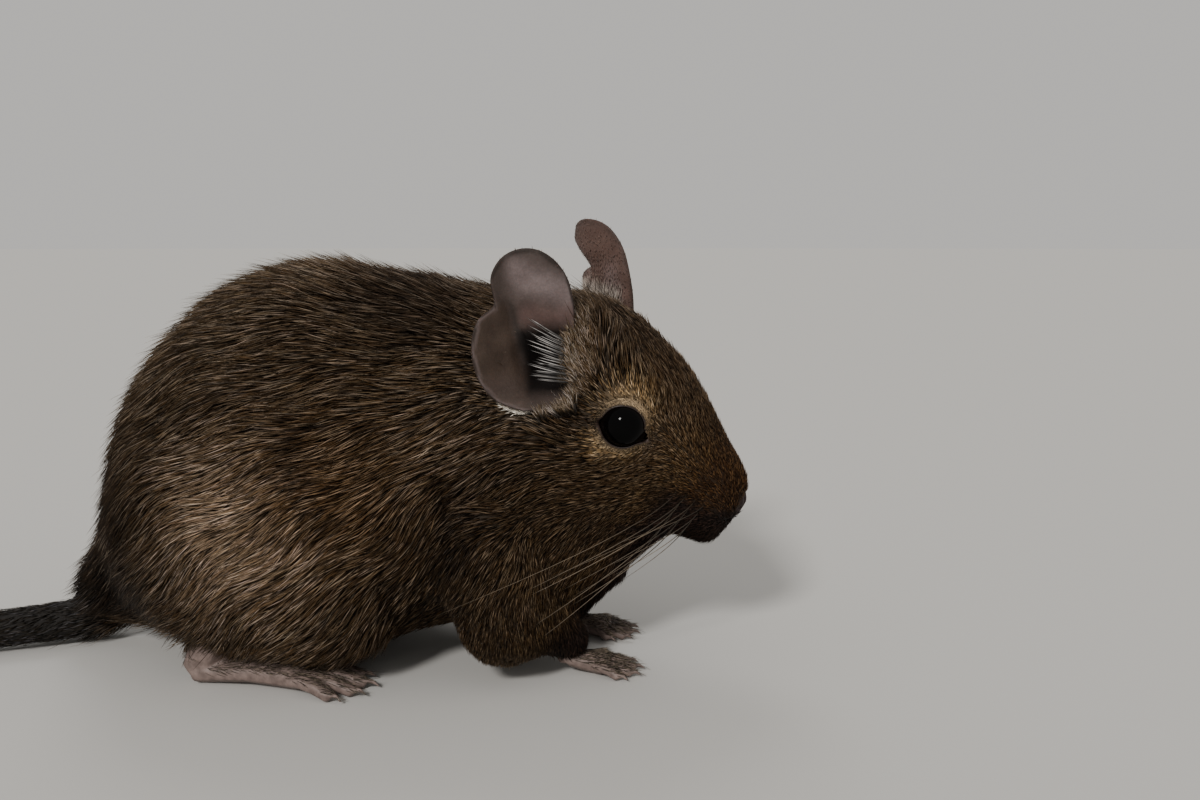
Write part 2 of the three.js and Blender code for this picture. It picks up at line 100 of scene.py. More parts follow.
def on_head(places):
    """Head places to body places, in millimetres."""
    return np.asarray(places, float) @ HEAD_TURN.T + NOSE_TIP


def to_head(places):
    return (np.asarray(places, float) - NOSE_TIP) @ HEAD_TURN


def head_way(way):
    return np.asarray(way, float) @ HEAD_TURN.T


def to_frame(places):
    """Body places in millimetres to the frame of the solids in metres."""
    return (np.asarray(places, float) + MIDDLE) * MM


def from_frame(points):
    return np.asarray(points, float) / MM - MIDDLE


def unit(vectors):
    vectors = np.asarray(vectors, float)
    return vectors / np.maximum(np.linalg.norm(vectors, axis=-1, keepdims=True), 1e-9)


def ease(values, low, high):
    """0 below low, 1 above high and smooth between them."""
    share = np.clip((np.asarray(values, float) - low) / (high - low), 0, 1)
    return share * share * (3 - 2 * share)


def near(places, centre, radius):
    """1 at a centre, falling smoothly to nothing past the radius, which has a number for each way."""
    reach = np.linalg.norm((np.asarray(places) - np.asarray(centre)) / np.asarray(radius, float), axis=-1)
    return np.exp(-((reach * 1.3) ** 2))


def ridge(values, middle, width):
    """1 where a value meets its middle, falling off over a width."""
    return np.exp(-(((values - middle) / width) ** 2))


def blended(base, colour, share):
    return base * (1 - share[:, None]) + colour * share[:, None]


# Camera, floor and light
def photo_camera():
    data = bpy.data.cameras.new("photo_camera")
    data.sensor_width = 36
    data.lens = 33.84
    data.clip_start = 0.01
    camera = bpy.data.objects.new("photo_camera", data)
    camera.location = to_frame((0, -195, 71.6))
    camera.rotation_euler = (math.radians(82), 0, 0)
    scene.collection.objects.link(camera)
    scene.camera = camera


def put_sun(name, energy, width, place, colour=(1, 1, 1)):
    data = bpy.data.lights.new(name, "SUN")
    data.energy, data.angle, data.color = energy, math.radians(width), colour
    lamp = bpy.data.objects.new(name, data)
    lamp.location = Vector(place)
    lamp.rotation_euler = (Vector((0.05, 0, 0.03)) - Vector(place)).to_track_quat("-Z", "Y").to_euler()
    scene.collection.objects.link(lamp)


def studio():
    floor = primitive(bpy.ops.mesh.primitive_circle_add, "floor", vertices=96, radius=12, fill_type="NGON")
    paper, _, shader = new_material("pale_paper", 1.0, 0.0)
    shader["Base Color"].default_value = (0.52, 0.51, 0.49, 1)
    floor.data.materials.append(paper)
    put_sun("window_light", 2.6, 10, (-0.35, -1.0, 0.75), (1, 0.975, 0.94))
    put_sun("back_light", 0.55, 25, (-0.2, 1.0, 1.2))
    air = bpy.data.worlds.new("studio_air")
    air.use_nodes = True
    background = air.node_tree.nodes["Background"].inputs
    background["Color"].default_value = (0.80, 0.78, 0.75, 1)
    background["Strength"].default_value = 0.72
    scene.world = air


# Materials
class Wiring:
    """Short words for adding and joining nodes of one tree."""

    def __init__(self, tree):
        self.tree = tree

    def feed(self, socket, value):
        """Gives a socket another node's output or a value of its own."""
        if isinstance(value, bpy.types.NodeSocket):
            self.tree.links.new(value, socket)
        else:
            socket.default_value = value

    def node(self, kind, inputs=(), **settings):
        made = self.tree.nodes.new("ShaderNode" + kind)
        for key, value in settings.items():
            setattr(made, key, value)
        for key, value in dict(inputs).items():
            self.feed(made.inputs[key], value)
        return made

    def attribute(self, name, output="Color"):
        return self.node("Attribute", attribute_name=name).outputs[output]

    def place(self):
        return self.node("TexCoord").outputs["Object"]

    def noise(self, scale, detail, roughness=0.55):
        inputs = {"Vector": self.place(), "Scale": scale, "Detail": detail, "Roughness": roughness}
        return self.node("TexNoise", inputs).outputs["Fac"]

    def ramp(self, source, *stops):
        """Colours along a value, where a single number stands for a grey."""
        made = self.node("ValToRGB", {"Fac": source})
        elements = made.color_ramp.elements
        while len(elements) < len(stops):
            elements.new(0.5)
        for element, (spot, colour) in zip(elements, stops):
            element.position = spot
            element.color = (*np.full(3, colour, float), 1)
        return made.outputs["Color"]

    def multiply(self, share, first, second):
        inputs = {0: share, 6: first, 7: second}
        return self.node("Mix", inputs, data_type="RGBA", blend_type="MULTIPLY").outputs[2]

    def bump(self, height, strength, distance, target):
        made = self.node("Bump", {"Strength": strength, "Distance": distance, "Height": height})
        self.feed(target, made.outputs["Normal"])


def new_material(name, roughness, specular=0.5, more=()):
    """A material with its shader's plain values set, the wiring of its nodes and the shader's inputs."""
    material = bpy.data.materials.new(name)
    material.use_nodes = True
    shader = material.node_tree.nodes["Principled BSDF"].inputs
    for title, value in {"Roughness": roughness, "Specular IOR Level": specular, **dict(more)}.items():
        shader[title].default_value = value
    return material, Wiring(material.node_tree), shader


def hair_banding():
    """Colour of a hair from root to tip: a dark root, partly the slate undercoat and partly painted shade
    deep in the coat, a band of its own colour and a darker end.
    """
    group = bpy.data.node_groups.new("hair_banding", "ShaderNodeTree")
    for title, kind in (("Own colour", "Color"), ("Along", "Float"), ("Mottling", "Float")):
        group.interface.new_socket(name=title, in_out="INPUT", socket_type="NodeSocket" + kind)
    group.interface.new_socket(name="Colour", in_out="OUTPUT", socket_type="NodeSocketColor")
    given = group.nodes.new("NodeGroupInput").outputs
    result = group.nodes.new("NodeGroupOutput").inputs
    wires = Wiring(group)
    stops = ((0.0, 0.2), (0.4, 0.4), (0.6, 1.15), (0.85, 1.3), (0.95, 0.75), (1.0, 0.5))
    banded = wires.multiply(1.0, given["Own colour"], wires.ramp(given["Along"], *stops))
    spread = wires.ramp(wires.noise(900, 2.0), (0.3, 0.82), (0.7, (1.15, 1.13, 1.1)))
    wires.feed(result["Colour"], wires.multiply(given["Mottling"], banded, spread))
    return group


def hair_material(name, group, roughness, specular):
    material, wires, shader = new_material(name, roughness, specular)
    own, along = wires.attribute("tone"), wires.attribute("along", "Fac")
    band = wires.node("Group", {"Own colour": own, "Along": along, "Mottling": 0.8}, node_tree=group)
    wires.feed(shader["Base Color"], band.outputs["Colour"])
    return material


def toned_skin(name, roughness, grain, low, share, bump):
    """Skin in its points' own tones, with a fine grain in colour and in height."""
    material, wires, shader = new_material(name, roughness, 0.25)
    pattern = wires.noise(*grain)
    spread = wires.ramp(pattern, (0.3, low), (0.7, 1.2))
    wires.feed(shader["Base Color"], wires.multiply(share, wires.attribute("tone"), spread))
    wires.bump(pattern, *bump, shader["Normal"])
    return material


def ear_material():
    """Thin bare skin toned by place, with blotches and a velvet grain."""
    light = {"Subsurface Weight": 0.1, "Subsurface Radius": (0.0012, 0.0006, 0.0004), "Subsurface Scale": 1.0}
    material, wires, shader = new_material("ear_skin", 0.6, 0.25, light)
    blotch = wires.ramp(wires.noise(420, 4.0, 0.65), (0.3, (0.74, 0.72, 0.72)), (0.72, (1.2, 1.2, 1.22)))
    grain = wires.ramp(wires.noise(3200, 2.0, 0.6), (0.3, 0.8), (0.75, 1.2))
    toned = wires.multiply(0.8, wires.attribute("tone"), blotch)
    wires.feed(shader["Base Color"], wires.multiply(0.6, toned, grain))
    wires.bump(wires.noise(2600, 3.0, 0.6), 0.3, 0.0002, shader["Normal"])
    return material


def eye_material():
    """A wet black eye with a barely lighter brown iris."""
    wet = {"Coat Weight": 0.02, "Coat Roughness": 0.02}
    material, wires, shader = new_material("eye_gloss", 0.05, 0.055, wet)
    pupil, iris, edge = (0.0012, 0.0011, 0.0012), (0.003, 0.002, 0.0017), (0.002, 0.0015, 0.0013)
    turn = wires.attribute("pupil", "Fac")
    wires.feed(shader["Base Color"], wires.ramp(turn, (0.0, pupil), (0.5, pupil), (0.6, iris), (1.0, edge)))
    return material


def bare_material(name, dark, light, scale, roughness, bump):
    """Moist or horny bare skin, mottled between two tones."""
    material, wires, shader = new_material(name, roughness)
    pattern = wires.noise(scale, 4.0, 0.6)
    wires.feed(shader["Base Color"], wires.ramp(pattern, (0.3, dark), (0.7, light)))
    wires.bump(pattern, bump, 0.0002, shader["Normal"])
    return material


def nose_material():
    """Moist dark skin with a pebbled grain, with painted shade that makes it near black inside the nostrils.
    """
    material, wires, shader = new_material("nose_skin", 0.6, 0.15)
    pebbles = wires.node("TexVoronoi", {"Scale": 2600, "Vector": wires.place()}, feature="SMOOTH_F1")
    grain = pebbles.outputs["Distance"]
    toned = wires.ramp(grain, (0.1, (0.05, 0.030, 0.028)), (0.75, (0.017, 0.010, 0.010)))
    # Painted shade inside the nostrils
    hollow = wires.ramp(wires.attribute("hollow", "Fac"), (0.25, 1.0), (0.7, (0.06, 0.05, 0.05)))
    wires.feed(shader["Base Color"], wires.multiply(1.0, toned, hollow))
    wires.bump(grain, 0.5, 0.00012, shader["Normal"])
    return material


# Mesh tools
def primitive(operator, name, location=(0, 0, 0), **settings):
    """A new primitive, alone in the selection."""
    bpy.ops.object.select_all(action="DESELECT")
    operator(location=location, **settings)
    piece = bpy.context.object
    piece.name = name
    return piece


def select(*pieces):
    """Selects these pieces alone and makes the first of them active."""
    bpy.ops.object.select_all(action="DESELECT")
    for piece in pieces:
        piece.select_set(True)
    bpy.context.view_layer.objects.active = pieces[0]


def join(*pieces):
    select(*pieces)
    if len(pieces) > 1:
        bpy.ops.object.join()
    return pieces[0]


def edit(piece, operator, **settings):
    """Runs one edit mode operator on the whole of a piece."""
    select(piece)
    bpy.ops.object.mode_set(mode="EDIT")
    bpy.ops.mesh.select_all(action="SELECT")
    operator(**settings)
    bpy.ops.object.mode_set(mode="OBJECT")


def apply(piece, kind, **settings):
    select(piece)
    modifier = piece.modifiers.new(kind.lower(), kind)
    for key, value in settings.items():
        setattr(modifier, key, value)
    bpy.ops.object.modifier_apply(modifier=modifier.name)


def unwrap_piece(piece):
    edit(piece, bpy.ops.uv.smart_project, angle_limit=math.radians(66), island_margin=0.002)


def placed(name, mesh):
    piece = bpy.data.objects.new(name, mesh)
    scene.collection.objects.link(piece)
    return piece


def read(rows, key, width=3, kind=np.float32):
    """One property of a mesh's points, corners or faces, a row for each."""
    values = np.empty(len(rows) * width, kind)
    rows.foreach_get(key, values)
    return values.reshape(-1, width)


def points_of(piece):
    return read(piece.data.vertices, "co").astype(float)


def normals_of(piece):
    return read(piece.data.vertex_normals, "vector").astype(float)


def move_points(piece, points):
    piece.data.vertices.foreach_set("co", np.asarray(points, np.float32).ravel())
    piece.data.update()


def put_value(piece, name, values):
    layer = piece.data.attributes.new(name, "FLOAT", "POINT")
    layer.data.foreach_set("value", np.asarray(values, np.float32))


def put_tone(piece, colours):
    layer = piece.data.attributes.new("tone", "FLOAT_COLOR", "POINT")
    full = np.ones((len(colours), 4), np.float32)
    full[:, :3] = colours
    layer.data.foreach_set("color", full.ravel())


def copy_of(names, label):
    """One mesh of copies of solids, with their loose triangles merged."""
    whole = join(*[placed(label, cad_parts[name].data.copy()) for name in names])
    whole.name = label
    whole.data.materials.clear()
    for layer in list(whole.data.uv_layers):
        whole.data.uv_layers.remove(layer)
    edit(whole, bpy.ops.mesh.remove_doubles, threshold=2e-6)
    return whole


def finish_piece(piece, material, slot, *nodes):
    piece.data.materials.clear()
    piece.data.materials.append(material)
    piece.data.polygons.foreach_set("use_smooth", np.ones(len(piece.data.polygons), bool))
    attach(piece, "root")
    if nodes:
        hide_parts(*nodes)


# Tail: its path from the rump to the tip, and its radius with the hair at each point of the path
TAIL_PATH = np.array(
    [(-80, 4.2, 9), (-91, 2.4, 4.6), (-106, -3.8, 3.9), (-124, -10.5, 3.5)]
    + [(-144, -14.5, 3.1), (-164, -13.5, 2.7), (-182, -7.5, 2.2)]
)
TAIL_RADII = np.array([5, 4.7, 4.15, 3.7, 3.3, 2.9, 1.6])


def tail_radius(steps):
    """Radius of the bare tail at steps along its path."""
    return np.interp(steps, np.arange(len(TAIL_RADII)), TAIL_RADII) - TAIL_HAIR


def smooth_path(points, count):
    """Even steps along a Catmull-Rom curve through the points, with its ways."""
    points = np.asarray(points, float)
    padded = np.vstack([2 * points[0] - points[1], points, 2 * points[-1] - points[-2]])
    spans = len(points) - 1
    share = np.linspace(0, spans, count)
    step = np.minimum(share.astype(int), spans - 1)
    t = (share - step)[:, None]
    a, b, c, d = (padded[step + k] for k in range(4))
    path = 0.5 * (2 * b + (c - a) * t + (2 * a - 5 * b + 4 * c - d) * t**2 + (3 * b - a - 3 * c + d) * t**3)
    return path, unit(np.gradient(path, axis=0))


def tail_rod():
    """The tail without its hair, as a round rod along its path."""
    rings, sides = 60, 16
    path, way = smooth_path(TAIL_PATH, rings)
    radii = tail_radius(np.linspace(0, len(TAIL_RADII) - 1, rings))[:, None, None]
    across = unit(np.cross(way, (0, 0, 1)))
    up = np.cross(across, way)
    angles = (2 * np.pi * np.arange(sides) / sides)[None, :, None]
    places = path[:, None] + radii * (across[:, None] * np.cos(angles) + up[:, None] * np.sin(angles))
    places[..., 2] = np.maximum(places[..., 2], TAIL_HAIR)
    faces = []
    for ring in range(rings - 1):
        for k in range(sides):
            a, b = ring * sides + k, ring * sides + (k + 1) % sides
            faces.append((a, b, b + sides, a + sides))
    faces.append(tuple(range(sides))[::-1])
    faces.append(tuple((rings - 1) * sides + k for k in range(sides)))
    mesh = bpy.data.meshes.new("tail_rod")
    mesh.from_pydata([tuple(point) for point in to_frame(places.reshape(-1, 3))], [], faces)
    return placed("tail_rod", mesh)


# Skin
FLESH = ("torso", "neck", "head", "haunch_right", "haunch_left", "foreleg_right", "foreleg_left")
TAIL_NODES = ("tail_base", "tail_middle", "tail_tip")


def on_foreleg(places):
    """1 on the forelegs and the chest between them, 0 above and behind."""
    return ease(places[:, 0], -33, -26) * (1 - ease(places[:, 2], 13, 28))


def on_crown(head):
    """1 on the flat of the head between the ears, where the fur is short and close."""
    across = ease(head[:, 1], -9, -4) * ease(-head[:, 1], -13, -10)
    return near(head * (1, 0, 1), (-31, 0, 13), (10, 1, 5)) * across


def on_face(head, rear):
    """1 on the face, falling to 0 at its rear and below it."""
    return ease(head[:, 0], rear, -30) * ease(head[:, 2] * 0.5 - head[:, 0] * 0.2, -9, -2)


def coat_depth(places):
    """Depth of the coat over the skin, in millimetres: deep on the back, thin on the face, feet and tail."""
    head = to_head(places)
    face_share = on_face(head, -46)
    face = 1.0 - 0.7 * ease(head[:, 0], -26, -4) + 1.8 * on_crown(head)
    body = 1.6 + 0.2 * ease(places[:, 2], 35, 60) - 0.8 * ease(-places[:, 2], -14, -3)
    body = body * (1 - 0.55 * on_foreleg(places)) + 1.8 * on_crown(head)
    tail_share = ease(-places[:, 0], 84, 94)
    return (body * (1 - face_share) + face * face_share) * (1 - tail_share) + TAIL_HAIR * tail_share


def make_skin():
    """One closed skin over flesh and tail, sunk below the solids by the depth of the coat."""
    skin = copy_of(FLESH, "skin")
    apply(skin, "DISPLACE", strength=SEAM_FILL * MM, mid_level=0)
    join(skin, tail_rod())
    apply(skin, "REMESH", mode="VOXEL", voxel_size=SKIN_GRID * MM)
    apply(skin, "SMOOTH", factor=0.5, iterations=14)
    places = from_frame(points_of(skin))
    groove = near(places * (1, 0, 1), (-23, 0, 30), (3.2, 1, 13)) * ease(np.abs(places[:, 1]), 12, 18)
    inward = (coat_depth(places) + 1.2 * groove) * (1 - ease(-places[:, 0], 84, 92))
    move_points(skin, points_of(skin) - normals_of(skin) * inward[:, None] * MM)
    apply(skin, "SMOOTH", factor=0.5, iterations=4)
    return skin


def eye_centre(side):
    low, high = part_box(f"eye_{side}")
    return np.array((low + high) / 2)


def eye_axes(side):
    """Ways out of the eye, forward and level, and upward, square to each other."""
    sign = SIDES[side]
    out = unit(head_way((0.15, sign * 0.94, 0.28)))
    ahead = head_way((0.778, -0.369 * sign, 0.508))
    ahead = unit(ahead - out * (ahead @ out))
    return out, ahead, np.cross(ahead, out) * sign


def eye_polar(places, side):
    """Distance in millimetres from the line of sight, turn round it from ahead to up, and height along it."""
    out, ahead, up = eye_axes(side)
    offset = places - from_frame(eye_centre(side))
    across = np.stack([offset @ ahead, offset @ up], 1)
    return np.linalg.norm(across, axis=1), np.arctan2(across[:, 1], across[:, 0]), offset @ out


def bump_at(turn, middle, width):
    """1 at a turn round the eye, in degrees, falling off over a width."""
    return ridge((np.degrees(turn) - middle + 180) % 360 - 180, 0, width)


# Turns round the eye, in degrees, of its corner to the ear and its corner to the nose
REAR_CORNER, FRONT_CORNER = 173, -31


def lid_opening(turn):
    """Half width of the opened lids at each turn: nearly round, drawn out at its two corners."""
    rear = 0.45 * bump_at(turn, REAR_CORNER, 13)
    front = 1.05 * bump_at(turn, FRONT_CORNER, 14)
    return 3.42 - 0.12 * np.sin(turn) ** 2 + rear + front


def mouth_line(head, width):
    """1 between the lips, falling off over a width."""
    line = ridge(head[:, 2] + 7.9 + 0.1 * (head[:, 0] + 8), 0, width)
    return line * ease(head[:, 0], -15, -12) * (head[:, 2] < -5)


# Fur in front of each ear: its middle and reach, rearward and upward from the ear's root, and its fullness
EAR_MOUND = {"right": ((-6.6, 2.5), (4.6, 8.0), 2.2), "left": ((-5.8, -2.0), (3.4, 4.2), 1.3)}


def carve_face(skin):
    """Fills the lips, presses in the mouth, opens the eye sockets and fills the fronts of the ears."""
    points = points_of(skin)
    head = to_head(from_frame(points))
    press = 0.5 * near(head, (-1.4, 0, -3.8), (2.4, 0.5, 2.4)) - 1.9 * near(head, (-2, 0, -6), (4.2, 5, 3))
    press += 0.6 * mouth_line(head, 0.55)
    points -= normals_of(skin) * press[:, None] * MM
    for side in SIDES:
        out = eye_axes(side)[0]
        gap, turn, height = eye_polar(from_frame(points), side)
        socket = np.where(gap < 3.5, np.sqrt(np.maximum(3.5**2 - gap**2, 0)) - 0.3, -0.3)
        edge = lid_opening(turn)
        share = (1 - ease(gap, edge + 0.2, edge + 0.9)) * (height > -4)
        points -= (np.maximum(height - socket, 0) * share)[:, None] * out * MM
        local = ear_places(from_frame(points), side)
        middle, reach, fullness = EAR_MOUND[side]
        mound = near(local[:, :2], middle, reach) * (np.abs(local[:, 2]) < 14)
        level = -0.9 - 0.25 * np.maximum(local[:, 1] - 6, 0)
        rise = np.maximum(level - local[:, 2], 0) * np.clip(mound * fullness, 0, 1)
        points += rise[:, None] * ear_axes(side)[2] * MM
    move_points(skin, points)


# Markings: the agouti coat is dark brown on the back, lighter and warmer on the haunch, with tan fur round
# the eye, pale fur under the ear and a dark reddish muzzle. Painted shade makes it near black low on the
# rump, in the creases behind the shoulder and the cheek, on the top of the neck, under the cheek and along
# the mouth.
BACK = np.array((0.087, 0.060, 0.0355))
CROWN = np.array((0.062, 0.041, 0.0235))
HAUNCH = np.array((0.30, 0.216, 0.147))
BELLY = np.array((0.16, 0.12, 0.08))
TAN = np.array((0.395, 0.268, 0.138))
CREAM = np.array((0.40, 0.33, 0.25))
MUZZLE = np.array((0.041, 0.0145, 0.003))
PAD = np.array((0.013, 0.007, 0.006))
# DARK is the darkest fur, and also the colour of the painted shade in the markings' creases and hollows
DARK = np.array((0.021, 0.012, 0.006))
EYE_CORNER = np.array((0.04, 0.026, 0.019))
TAIL_TONE = np.array((0.032, 0.028, 0.025))


def spotted(tone, places, *spots):
    """Blends spots into a tone, each with its colour, strength, centre and radius."""
    for colour, strength, centre, radius in spots:
        tone = blended(tone, colour, strength * near(places, centre, radius))
    return tone


def folded(places):
    """Places of both sides laid over each other on the left one."""
    return np.stack([places[:, 0], np.abs(places[:, 1]), places[:, 2]], 1)


def markings(places):
    """Mean colour of the coat at body places in millimetres, with painted shade low on the rump, in its
    creases, on the top of the neck and under the cheek.
    """
    head = to_head(places)
    flank, face = folded(places), folded(head)
    tone = blended(np.tile(BACK, (len(places), 1)), CROWN, ease(head[:, 0], -46, -34))
    tone = spotted(
        tone,
        flank,
        (HAUNCH, 0.93, (-55, 26, 28), (15.5, 20, 17)),
        (HAUNCH, 0.08, (-54, 20, 56), (15, 14, 9)),
        (HAUNCH, 0.06, (-42, 10, 66), (14, 16, 8)),
    )
    # Painted shade low on the rump, near black
    tone = blended(tone, DARK * 0.8, np.clip(1.55 * near(flank, (-81, 8, 24), (18, 30, 24)), 0, 0.96))
    # Painted shade in the crease between shoulder and haunch: a dark band slanting across the flank
    fold_shade = ridge(flank[:, 0] + 43 + 0.25 * (flank[:, 2] - 35), 0, 2.8)
    fold_shade = fold_shade * near(flank * (0, 1, 1), (0, 25, 37), (1, 14, 14))
    tone = blended(tone, DARK, 0.62 * fold_shade)
    tone = spotted(tone, flank, (HAUNCH, 0.07, (-34, 25, 32), (7, 16, 12)))
    tone = tone * (1 + near(flank, (-36, 25, 36), (15, 18, 16))[:, None] * (0.05, -0.08, -0.24))
    # Painted shade in the crease behind the cheek
    tone = spotted(tone, flank, (DARK, 0.6, (-22, 22, 24), (4.2, 16, 14)))
    # Painted shade on the top of the neck
    tone = blended(tone, DARK, np.clip(1.3 * near(flank, (-27, 12, 64), (14, 17, 9)), 0, 0.82))
    belly = ease(-places[:, 2], -9, -2) * ease(-places[:, 0], -10, 0) * ease(places[:, 0], -84, -76)
    tone = blended(tone, BELLY, 0.8 * belly)
    tone = spotted(tone, flank, (HAUNCH, 0.27, (-23, 24, 43), (8, 8, 10)))
    tone = spotted(
        tone,
        face,
        (HAUNCH, 0.4, (-34, 14, 8), (4.5, 6, 8)),
        (HAUNCH, 0.1, (-14, 9, 6), (6, 5, 5)),
        (HAUNCH, 0.14, (-37, 19.5, -2), (7, 6, 5)),
    )
    tone = tone * (1 + ease(head[:, 0], -36, -20)[:, None] * (0.05, 0.0, -0.12))
    tone = tone * (1 + ease(head[:, 0], -18, -8)[:, None] * (0.05, -0.05, -0.3))
    tone = spotted(
        tone,
        face,
        (CREAM, 0.68, (-37.5, 20, 1.2), (4.5, 5, 1.4)),
        (DARK, 0.52, (-24, 0, 15), (16, 7, 5)),
    )
    tone = blended(tone, MUZZLE, 0.6 * ease(head[:, 0], -13, -6))
    # The lower half of the muzzle's front takes the pad's colour: partly its dark bare skin, partly painted
    # shade under the muzzle
    tone = blended(tone, PAD, 0.85 * ease(-head[:, 2], -2.6, 0.4) * ease(head[:, 0], -14, -9))
    tone = spotted(
        tone,
        face,
        (DARK, 0.55, (-12, 0, 9), (10, 5, 5)),
        # The next two are painted shade under the cheek and the jaw
        (DARK, 0.72, (-17, 13.5, -9), (8, 6, 5)),
        (DARK, 0.6, (-24, 14, -13), (9, 8, 6)),
    )
    # Painted shade along the mouth line, in the pad's colour
    tone = blended(tone, PAD, 0.9 * mouth_line(head, 0.7))
    for side in SIDES:
        gap, turn, height = eye_polar(places, side)
        level = (np.abs(height - 1) < 6) * 1.0
        brow = ridge(gap, 4.7, 1.8) * bump_at(turn, 78, 52)
        corner = ridge(gap, 4.9, 1.3) * bump_at(turn, 222, 26)
        under = ridge(gap, 4.1, 1.0) * bump_at(turn, 285, 45)
        front = ridge(gap, 4.4, 0.9) * bump_at(turn, 15, 25)
        wedge = ridge(gap, 4.6, 1.5) * (bump_at(turn, REAR_CORNER, 12) + bump_at(turn, FRONT_CORNER, 12))
        ring = np.clip(0.85 * brow + 0.75 * corner + 0.8 * under + 0.4 * front, 0, 1)
        tone = blended(tone, TAN, ring * level)
        tone = blended(tone, EYE_CORNER, np.clip(0.75 * wedge, 0, 1) * level)
    return blended(tone, TAIL_TONE, ease(-places[:, 0], 84, 90) * ease(-places[:, 2], -22, -10))


# Lie of the coat: places on the left side, and the way a hair points there from root to tip.
# The head's are given in its own frame.
HEAD_LIE = (
    (-2, 0, 3, -0.8, 0, 0.6), (-11, 3, 9, -0.85, 0.03, 0.5), (-20, 4, 13.5, -0.88, 0, 0.46),
    (-27, 8.5, 13.9, -0.7, -0.12, 0.7), (-32, 11, 12.4, -0.7, -0.15, 0.7), (-33, 15, 4.2, -0.9, 0.1, 0.2),
    (-40, 5, 15, -1, 0, 0.1), (-28, 16.5, 3.2, -0.81, 0.3, -0.3), (-17, 12.8, 2.1, -0.72, 0.36, -0.5),
    (-23, 17.6, -3.4, -0.72, 0.36, -0.58), (-37, 21.6, -0.3, -0.6, 0.36, -0.65),
    (-7, 7.4, 3.1, -0.85, 0.3, -0.1), (-8, 9, -4, -0.85, 0.3, -0.4), (-3, 3, -5, -0.7, 0.1, -0.7),
    (-10, 9.2, -10.7, -0.7, 0.3, -0.6), (-10, 0, -11, -0.9, 0, -0.4),
)
BODY_LIE = (
    (-23, 20, 55, -1, 0, -0.12), (-27, 11, 64, -1, 0, 0.02), (-22, 24, 40, -0.88, 0, -0.5),
    (-12, 20, 37, -1, 0, -0.05), (-3, 18, 33, -1, 0, -0.08), (-14, 20, 31, -0.93, 0, -0.35),
    (-18, 22, 35, -0.85, 0, -0.5), (-27, 22, 25, -0.65, 0, -0.75), (-38, 25, 43, -1, 0, -0.2),
    (-36, 25, 22, -0.9, 0, -0.42), (-40, 0, 69, -1, 0, 0.02), (-56, 14, 62, -0.96, 0, -0.3),
    (-73, 14, 49, -0.65, 0, -0.78), (-86, 0, 40, -0.35, 0, -0.93), (-79, 17, 30, -0.35, 0, -0.93),
    (-88, 3, 16, -0.75, 0, -0.55), (-55, 27, 36, -0.93, 0, -0.36), (-65, 26, 25, -0.72, 0, -0.7),
    (-62, 25, 12, -0.68, 0, -0.72), (-47, 27, 25, -0.85, 0, -0.52), (-44, 25, 13, -0.8, 0, -0.6),
    (-46, 8, 3, -1, 0, -0.1), (-20, 8, 6, -1, 0, -0.3), (3, 6, 22, -0.4, 0, -0.92),
    (-1, 14, 30, -0.6, 0, -0.8), (-15, 19, 22, -0.35, 0, -0.94), (-14, 17, 10, 0.1, 0, -0.99),
    (-6, 12, 7, 0.3, 0, -0.95),
)


def lie_guides():
    """Places and ways of the coat's lie on both sides and along the tail."""
    places, ways = [], []
    for rows, to_place, to_way in ((HEAD_LIE, on_head, head_way), (BODY_LIE, np.array, np.array)):
        for row in rows:
            for sign in SIDES.values():
                places.append(to_place(np.array(row[:3]) * (1, sign, 1)))
                ways.append(to_way(np.array(row[3:]) * (1, sign, 1)))
    path, way = smooth_path(TAIL_PATH, 16)
    return np.array([*places, *path[2:]]), unit(np.array([*ways, *way[2:]]))


def lie_of_coat(places, normals):
    """Way of the hair over the skin: the guides' ways, weighed by nearness and laid flat on the skin."""
    guide_places, guide_ways = lie_guides()
    ways = np.zeros_like(places)
    at_once = 20000
    for start in range(0, len(places), at_once):
        chunk = slice(start, start + at_once)
        gap = ((places[chunk, None] - guide_places[None]) ** 2).sum(-1)
        weight = 1 / (gap + 6) ** 2
        ways[chunk] = (weight @ guide_ways) / weight.sum(1, keepdims=True)
    ways -= normals * (ways * normals).sum(1, keepdims=True)
    return unit(ways)


# Coat
def scatter(piece, count, density):
    """Roots spread over the faces of a piece by area times density: points, normals, unwrap places."""
    mesh = piece.data
    mesh.calc_loop_triangles()
    triangles = read(mesh.loop_triangles, "vertices", kind=np.int32)
    corners = read(mesh.loop_triangles, "loops", kind=np.int32)
    unwrap = read(mesh.uv_layers[0].data, "uv", 2)
    points, normals = points_of(piece), normals_of(piece)
    sides = points[triangles[:, 1:]] - points[triangles[:, :1]]
    area = np.linalg.norm(np.cross(sides[:, 0], sides[:, 1]), axis=1) / 2
    weight = np.cumsum(area * density[triangles].mean(1))
    picks = (np.arange(count) + rng.random(count)) / count * weight[-1]
    chosen = np.minimum(np.searchsorted(weight, picks), len(triangles) - 1)
    u, v = rng.random(count), rng.random(count)
    flip = u + v > 1
    u[flip], v[flip] = 1 - u[flip], 1 - v[flip]
    share = np.stack([1 - u - v, u, v], 1)[:, :, None]
    roots, lean = ((values[triangles[chosen]] * share).sum(1) for values in (points, normals))
    return roots, unit(lean), (unwrap[corners[chosen]] * share).sum(1)


def clumped(roots, ways, lengths):
    """Turns each hair a little towards the middle of its clump, so that tips gather."""
    order = rng.permutation(len(roots))[: max(8, int(len(roots) / (TUFT_CLUMP * TUFT_CLUMP * 7)))]
    tree = KDTree(len(order))
    for i, k in enumerate(order):
        tree.insert(roots[k], i)
    tree.balance()
    home = np.array([tree.find(Vector(p))[1] for p in roots])
    middle = roots[order[home]] + ways[order[home]] * lengths[order[home], None] * 0.9
    aim = unit(middle - roots)
    return unit(ways * (1 - CLUMP_PULL) + aim * CLUMP_PULL), home


